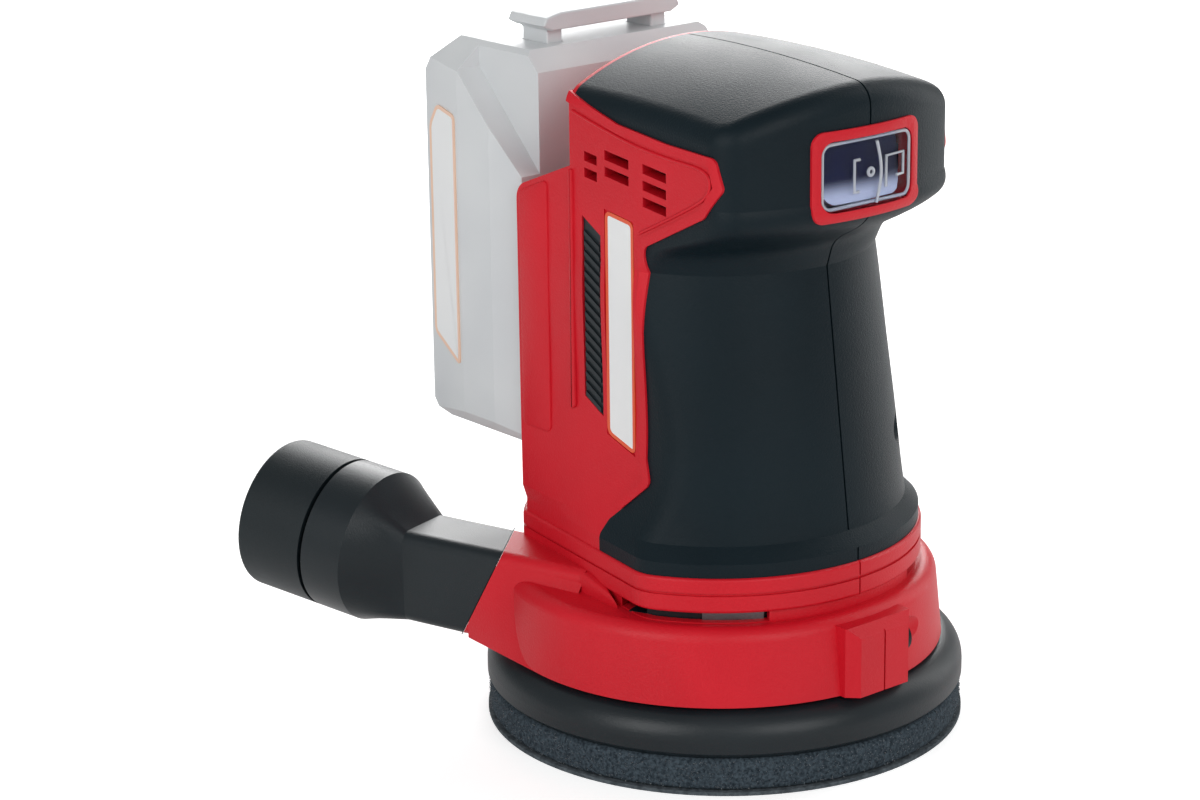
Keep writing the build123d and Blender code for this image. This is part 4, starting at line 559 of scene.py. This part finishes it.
def add_border(bm):
    """Inset the outward face of a plate and give the field inside it the second finish."""
    field = outward_face(bm)
    bmesh.ops.inset_region(bm, faces=[field], thickness=PLATE_BORDER * MM, depth=-FIELD_SINK * MM)
    field.material_index = 1


plate = side_plate(PLATE_OUTLINE, SIDE_X, -PLATE_THICK, PLATE_CORNER, 0.0)
add_border(plate)
keep("panel_plate", plate, (BORDER, PLATE), "housing", smooth=False)

# %% [markdown]
# ## The bare plate on the pack
# The pack has a larger plate with a faded border on its side, which leans in towards the rear. The outline
# could be drawn in the leaning plane, but it is easier to draw it upright and turn the finished plate.

# %% Plate on the pack
PACK_SIDE_X, PACK_SPLIT_Y = -37.5, 59.0
PACK_LEAN_IN, PACK_LEAN_RUN = 2.4, 16.4
PACK_PLATE = ((60.4, 154.2), (69.5, 155.8), (73.6, 150.0), (73.6, 93.5), (60.4, 86.8))
PACK_CORNER = 1.6

pack_lean = math.atan2(PACK_LEAN_IN, PACK_LEAN_RUN)
pack_plate = side_plate(PACK_PLATE, PACK_SIDE_X, -PLATE_THICK, PACK_CORNER, 0.0)
add_border(pack_plate)
bmesh.ops.rotate(pack_plate, verts=pack_plate.verts, cent=Vector((PACK_SIDE_X, PACK_SPLIT_Y, 0)) * MM,
                 matrix=Matrix.Rotation(-pack_lean, 3, "Z"))
keep("pack_plate", pack_plate, (PALE_BORDER, PLATE), "battery", smooth=False)

# %% [markdown]
# ## Caps on the pack's shoulders
# The rear half of the pack closes the step at the end of each slanted cheek with a small three-cornered wall.
# A thin prism just behind the parting plane does that; it could be a boolean, but three corners are enough.

# %% Shoulder caps
CAP_INNER, CAP_OUTER = 29.4, 36.2
CAP_DROP, CAP_TOP = 7.0, 1.6
CAP_SET, CAP_THICK = 0.03, 0.9
CAP_CORNERS = ((CAP_INNER, CAP_DROP), (CAP_OUTER, CAP_DROP), (CAP_INNER, CAP_TOP))

case_low, case_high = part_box("battery_case_rear")
cap_y = case_low.y + CAP_SET * MM
for side, sign in (("right", -1), ("left", 1)):
    cap = bmesh.new()
    wall = cap.faces.new([cap.verts.new((sign * x * MM, cap_y, case_high.z - drop * MM))
                          for x, drop in CAP_CORNERS])
    pull_up(cap, [wall], (0, CAP_THICK * MM, 0))
    keep(f"shoulder_cap_{side}", cap, (PALE,), "battery", smooth=False)
print("caps at y", round(case_low.y / MM, 2), "mm, top", round(case_high.z / MM, 2), "mm")

# %% [markdown]
# ## Beads and cheeks on the rear block
# Behind the panel a slim upright bead runs down from the head's rear edge, and the rear block has a slightly
# raised cheek. They could be drawn with a displaced wall, but both are thin mouldings on a flat one, so a
# bevelled plate on each side does it.

# %% Beads and cheeks
BLOCK_X = 37.9
BEAD = ((11.6, 87.0), (13.2, 86.0), (13.2, 148.2), (11.6, 148.6))
BEAD_RISE, BEAD_CORNER, BEAD_EDGE = 0.8, 0.6, 0.5
CHEEK = ((21.8, 77.5), (33.2, 77.5), (33.2, 139.4), (21.8, 144.2))
CHEEK_RISE, CHEEK_CORNER, CHEEK_EDGE = 0.6, 2.0, 0.45
for side, sign in (("right", -1), ("left", 1)):
    bead = side_plate(BEAD, sign * BLOCK_X, sign * BEAD_RISE, BEAD_CORNER, BEAD_EDGE)
    keep(f"panel_bead_{side}", bead, (RED,), "housing")
    cheek = side_plate(CHEEK, sign * BLOCK_X, sign * CHEEK_RISE, CHEEK_CORNER, CHEEK_EDGE)
    keep(f"rear_cheek_{side}", cheek, (RED,), "housing")

# %% [markdown]
# ## A helper for raised lines
# Fine raised lines come up twice, on the switch cover and on the red panel. A line could be swept by
# extruding a small circle step by step. A curve with a round bevel makes such a tube quickly, and its mesh
# is kept.

# %% Tube helper
TUBE_ROUND = 3
LINE_ORDER = 3


def tubes(strokes, radius, kind):
    """Round beads of a radius in millimetres along lines of points, as one bmesh."""
    lines = bpy.data.curves.new("bead_lines", "CURVE")
    lines.dimensions = "3D"
    lines.bevel_depth = radius * MM
    lines.bevel_resolution = TUBE_ROUND
    lines.use_fill_caps = True
    for stroke in strokes:
        spline = lines.splines.new(kind)
        spline.use_cyclic_u = (Vector(stroke[0]) - Vector(stroke[-1])).length < TINY
        points = stroke[:-1] if spline.use_cyclic_u else stroke
        spline.points.add(len(points) - 1)
        for point, place in zip(spline.points, points):
            point.co = (*place, 1)
        spline.use_endpoint_u = not spline.use_cyclic_u
        spline.order_u = LINE_ORDER
    drawn = bpy.data.objects.new("bead_lines", lines)
    scene.collection.objects.link(drawn)
    graph = bpy.context.evaluated_depsgraph_get()
    bm = bmesh.new()
    bm.from_mesh(bpy.data.meshes.new_from_object(drawn.evaluated_get(graph)))
    bpy.data.objects.remove(drawn)
    bmesh.ops.remove_doubles(bm, verts=bm.verts, dist=TINY)
    return bm


print("tube bevel resolution", TUBE_ROUND)

# %% [markdown]
# ## Marks on the switch cover
# The cover has raised lines moulded into it: a rim, a bar for on, an open square for off, a small ring and
# a curved ridge that parts them. A texture could draw them, but they stand up in the light, so each is a
# thin tube half sunk in the curved front of the cover.

# %% Cover ridges
FRONT_RADIUS, FRONT_MIDDLE = 73.0, 19.0
RIDGE_RADIUS = 0.42
frame_low, frame_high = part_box("switch_frame")
WINDOW_Z = (frame_low.z + frame_high.z) / (2 * MM)


def on_cover(x, z):
    """Point on the curved front of the head, in metres."""
    return Vector((x, FRONT_MIDDLE - math.sqrt(FRONT_RADIUS ** 2 - x ** 2), z)) * MM


def arc(x, z, bow, half, steps=10):
    """Upright arc of points that bows sideways."""
    return [(x + bow * math.cos(math.pi * t / (2 * steps)), z + half * t / steps)
            for t in range(-steps, steps + 1)]


def ring(x, z, radius, steps=16):
    """Closed ring of points."""
    return [(x + radius * math.cos(math.tau * t / steps), z + radius * math.sin(math.tau * t / steps))
            for t in range(steps + 1)]


def frame_line(half, tall, corner, steps=6):
    """Closed rounded rectangle of points round the middle of the window."""
    points = []
    for quarter, (sx, sz) in enumerate(((1, 1), (-1, 1), (-1, -1), (1, -1))):
        for t in range(steps + 1):
            turn = math.pi / 2 * (quarter + t / steps)
            points.append((sx * (half - corner) + corner * math.cos(turn),
                           WINDOW_Z + sz * (tall - corner) + corner * math.sin(turn)))
    return points + points[:1]


RIM_LINE = frame_line(half=14.4, tall=7.9, corner=2.4)
BAR_LINE = ((-3.4, 156.4), (-5.0, 156.4), (-5.0, 148.6), (-3.6, 148.6))
RING_LINE = ring(x=0.3, z=152.9, radius=0.9)
PARTING_LINE = arc(x=2.2, z=152.6, bow=1.6, half=7.6)
SQUARE_LINE = ((5.6, 148.4), (5.6, 156.0), (12.0, 156.0), (12.0, 150.6), (9.4, 150.6))
STROKES = (RIM_LINE, BAR_LINE, RING_LINE, PARTING_LINE, SQUARE_LINE)
ridges = tubes([[on_cover(x, z) for x, z in stroke] for stroke in STROKES], RIDGE_RADIUS, "POLY")
keep("cover_ridges", ridges, (RIDGE,), "housing")
print("window middle at", round(WINDOW_Z, 1), "mm")

# %% [markdown]
# ## The second line of the panel's border
# Inside the raised border of the red panel runs a second, finer line. It follows the panel round its nose.
# Guessed depths would leave it floating, so each point is first dropped on to the shell from the side, and a
# smooth tube half sunk in the wall joins them.

# %% Panel lines
PANEL_LINE = ((11.4, 163.2), (-6.5, 158.8), (-24.4, 156.9), (-38.6, 156.6), (-40.0, 151.6), (-34.0, 147.0),
              (-13.6, 136.8))
LINE_RADIUS = 0.45
DROP_FROM = 100


def dropped(shell, sign):
    """Points of the panel's line where a ray from the side meets the shell."""
    inwards = Vector((-sign, 0, 0))
    return [shell.ray_cast(Vector((sign * DROP_FROM, y, z)) * MM, inwards)[1] for y, z in PANEL_LINE]


for side, sign in (("right", -1), ("left", 1)):
    line = tubes([dropped(nodes[f"housing_{side}"], sign)], LINE_RADIUS, "NURBS")
    keep(f"panel_line_{side}", line, (RED,), "housing")

# %% [markdown]
# ## What shows in the exhaust slots
# Behind each exhaust slot lies a dark lining, and in front of it part of a metal guard that keeps chips off
# the fan. Full rings would be hidden almost everywhere, so each is a rectangle turned round the tool's axis
# through the arc behind the slot only.

# %% Exhaust lining and guard
LINING_FLOOR = (43.0, 48.0, 41.52, 41.75)
LINING_WALL = (47.4, 48.0, 41.52, 45.6)
GUARD_WALL = (48.3, 48.9, 41.6, 44.9)
FLOOR_ARC, WALL_ARC, GUARD_ARC = (200.0, 243.0), (206.0, 243.0), (223.0, 241.0)
ARC_STEPS = 24


def arc_bar(bm, profile, arc_deg):
    """Turn a rectangle (inner, outer, low, high) through an arc on the right side of the tool."""
    inner, outer, low, high = profile
    first, last = (math.radians(angle) for angle in arc_deg)
    start = Vector((math.cos(first), math.sin(first), 0))
    corners = ((inner, low), (outer, low), (outer, high), (inner, high))
    section = bm.faces.new([bm.verts.new((start * radius + Vector((0, 0, z))) * MM)
                            for radius, z in corners])
    bmesh.ops.spin(bm, geom=[section, *section.edges, *section.verts], cent=(0, 0, 0), axis=(0, 0, 1),
                   angle=last - first, steps=ARC_STEPS)


for side, sign in (("right", 1), ("left", -1)):
    lining, guard = bmesh.new(), bmesh.new()
    arc_bar(lining, LINING_FLOOR, FLOOR_ARC)
    arc_bar(lining, LINING_WALL, WALL_ARC)
    arc_bar(guard, GUARD_WALL, GUARD_ARC)
    for bars in (lining, guard):
        bmesh.ops.scale(bars, vec=(sign, 1, 1), verts=bars.verts)
    keep(f"exhaust_lining_{side}", lining, (RUBBER,), "housing")
    keep(f"exhaust_guard_{side}", guard, (GUARD,), "housing")

# %% [markdown]
# ## A dark frame at the dust outlet
# The adapter plugs into a slanted mouth; a thin dark frame in the gap between the two is painted shade.
# It could be cut from the solids, but it is only a frame: the duct's four corners are carried along the duct
# on to the mouth plane, an inset leaves the hole, and the frame that is left is pulled up a little.

# %% Dark frame as painted shade in the mouth gap
DUCT_ORIGIN = Vector((-46.4, 38.9, 34.4)) * MM
DUCT_TURN_DEG = 17
MOUTH_TURN_DEG, MOUTH_TILT_DEG = 25, 26
DUCT_HALF_X, DUCT_HALF_Z = 9.5, 12.25
# Sizes of the dark frame that is painted shade in the gap.
SHADE_FRAME_RIM, SHADE_FRAME_THICK, SHADE_FRAME_GAP = 2.2, 0.22, 0.04

duct_place = Matrix.Translation(DUCT_ORIGIN) @ Matrix.Rotation(math.radians(DUCT_TURN_DEG), 4, "Z")
mouth_turn = Matrix.Rotation(math.radians(MOUTH_TURN_DEG), 3, "Z")
mouth_tilt = Matrix.Rotation(math.radians(MOUTH_TILT_DEG), 3, "X")
mouth_normal = mouth_turn @ mouth_tilt @ Vector((0, 1, 0))
shade_frame = bmesh.new()
corners = [Vector((x * DUCT_HALF_X, 0, z * DUCT_HALF_Z)) * MM
           for x, z in ((-1, -1), (1, -1), (1, 1), (-1, 1))]
for corner in corners:
    corner.y = SHADE_FRAME_GAP * MM - mouth_normal.dot(corner) / mouth_normal.y
sheet = shade_frame.faces.new([shade_frame.verts.new(corner) for corner in corners])
bmesh.ops.inset_region(shade_frame, faces=[sheet], thickness=SHADE_FRAME_RIM * MM, use_boundary=True)
bmesh.ops.delete(shade_frame, geom=[sheet], context="FACES_ONLY")
pull_up(shade_frame, list(shade_frame.faces), mouth_normal * SHADE_FRAME_THICK * MM)
depths = [mouth_normal.dot(v.co) / MM for v in shade_frame.verts]
print("seal from the mouth plane, mm", round(min(depths), 3), round(max(depths), 3))
bmesh.ops.transform(shade_frame, matrix=duct_place, verts=shade_frame.verts)
keep("mouth_gap_shade", shade_frame, (RUBBER,), "hose_adapter", smooth=False)

# %% [markdown]
# ## The ramp behind the socket
# The socket's roof runs out along the ring in a short ramp. A loft would be more than it needs: a foot of
# four corners is pulled up, each top corner gets its own height, and the upper edges are rounded.

# %% Socket ramp
RAMP_FOOT = ((-45.4, 2.2), (-42.6, 2.2), (-42.6, -4.0), (-46.0, -13.0))
RAMP_TOP = (46.7, 46.9, 46.2, 43.2)
RAMP_LOW = 41.2
RAMP_CREST = RAMP_LOW + 1
RAMP_ROUND, RAMP_STEPS = 1.2, 4

ramp = bmesh.new()
foot = ramp.faces.new([ramp.verts.new(Vector((x, y, RAMP_LOW)) * MM) for x, y in RAMP_FOOT])
for vert in pull_up(ramp, [foot], (0, 0, 0)):
    nearest = min(range(len(RAMP_FOOT)), key=lambda k: (vert.co.xy - Vector(RAMP_FOOT[k]) * MM).length)
    vert.co.z = RAMP_TOP[nearest] * MM
bmesh.ops.recalc_face_normals(ramp, faces=ramp.faces)
crest = [e for e in ramp.edges if all(v.co.z > RAMP_CREST * MM for v in e.verts)]
round_over(ramp, crest, RAMP_ROUND, RAMP_STEPS)
keep("socket_ramp", ramp, (RED,), "housing")

# %% [markdown]
# ## The foam disc
# The pad ends in a soft foam disc. A new disc would need its dust holes cut again, so a copy of the solid is
# used: its loose triangles are merged first, then both rims are rounded so that the edge looks cut and
# pressed.

# %% Foam disc
PAD_MIDDLE = Vector((1.5, 0.0)) * MM
FOAM_EDGE, FOAM_STEPS = 1.6, 4
RIM_BAND = 0.3
FLAT_DEG = 1

foam = bmesh.new()
foam.from_mesh(nodes["pad_foam"].data)
bmesh.ops.remove_doubles(foam, verts=foam.verts, dist=TINY)
reach = max((v.co.xy - PAD_MIDDLE).length for v in foam.verts)


def on_rim(edge):
    """True for an edge of the outer circle on the upper or lower face."""
    flat = abs(edge.verts[0].co.z - edge.verts[1].co.z) < TINY
    return flat and all((v.co.xy - PAD_MIDDLE).length > reach - RIM_BAND * MM for v in edge.verts)


bmesh.ops.dissolve_limit(foam, angle_limit=math.radians(FLAT_DEG), verts=foam.verts, edges=foam.edges)
round_over(foam, [e for e in foam.edges if on_rim(e)], FOAM_EDGE, FOAM_STEPS)
foam_disc = keep("foam_disc", foam, (FOAM,), "pad")
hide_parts("pad_foam")
print("foam radius mm", round(reach / MM, 2))

# %% [markdown]
# ## Fibres on the foam's rim
# The edge of the foam is felted, so its outline is fuzzy. Hair could give that, but spikes are plain mesh
# like every other piece here, so each fibre is a three-sided one. The places are drawn with a fixed seed, so
# every run gives the same rim.

# %% Fibres
FIBRES = 2400
FIBRE_SEED = 11
FIBRE_MARGIN = 0.6
FIBRE_SHORT, FIBRE_LONG = 0.5, 1.1
FIBRE_LEAN = 0.9
FIBRE_ROOT, FIBRE_TIP = 0.16, 0.03
FIBRE_SIDES = 3

draw = random.Random(FIBRE_SEED)
foam_low, foam_high = (corner[2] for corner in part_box("pad_foam"))
outwards = Matrix.Translation((reach, 0, 0)) @ Matrix.Rotation(math.radians(90), 4, "Y")
fuzz = bmesh.new()
for _ in range(FIBRES):
    turn = draw.uniform(0, math.tau)
    height = draw.uniform(foam_low + FIBRE_MARGIN * MM, foam_high - FIBRE_MARGIN * MM)
    length = draw.uniform(FIBRE_SHORT, FIBRE_LONG) * MM
    lean = Matrix.Rotation(draw.uniform(-FIBRE_LEAN, FIBRE_LEAN), 4, "X")
    lean = lean @ Matrix.Rotation(draw.uniform(-FIBRE_LEAN, FIBRE_LEAN), 4, "Y")
    place = Matrix.Translation((*PAD_MIDDLE, height)) @ Matrix.Rotation(turn, 4, "Z") @ outwards @ lean
    bmesh.ops.create_cone(fuzz, cap_ends=True, segments=FIBRE_SIDES, radius1=FIBRE_ROOT * MM,
                          radius2=FIBRE_TIP * MM, depth=length, matrix=place)
keep("foam_fuzz", fuzz, (FUZZ,), "pad")

# %% [markdown]
# ## Softened edges
# No moulded edge is razor sharp: a small round catches a line of light. The solids keep their meshes, so a
# Weld modifier joins their triangles and a Bevel modifier rounds the sharp edges, both live on the object.

# %% Edge rounds on the mouldings
EDGE_ROUND = {"battery_case_front": 0.5, "battery_case_rear": 0.5, "battery_button": 0.5,
              "switch_frame": 0.3, "side_insert_left": 0.12, "side_insert_right": 0.12}
ROUND_STEPS = 3
ROUND_FROM_DEG = 30
for name, size in EDGE_ROUND.items():
    weld = nodes[name].modifiers.new("join", "WELD")
    weld.merge_threshold = TINY
    bevel = nodes[name].modifiers.new("round", "BEVEL")
    bevel.width = size * MM
    bevel.segments = ROUND_STEPS
    bevel.limit_method = "ANGLE"
    bevel.angle_limit = math.radians(ROUND_FROM_DEG)
    bevel.harden_normals = True
print("rounded edges on", len(EDGE_ROUND), "solids")
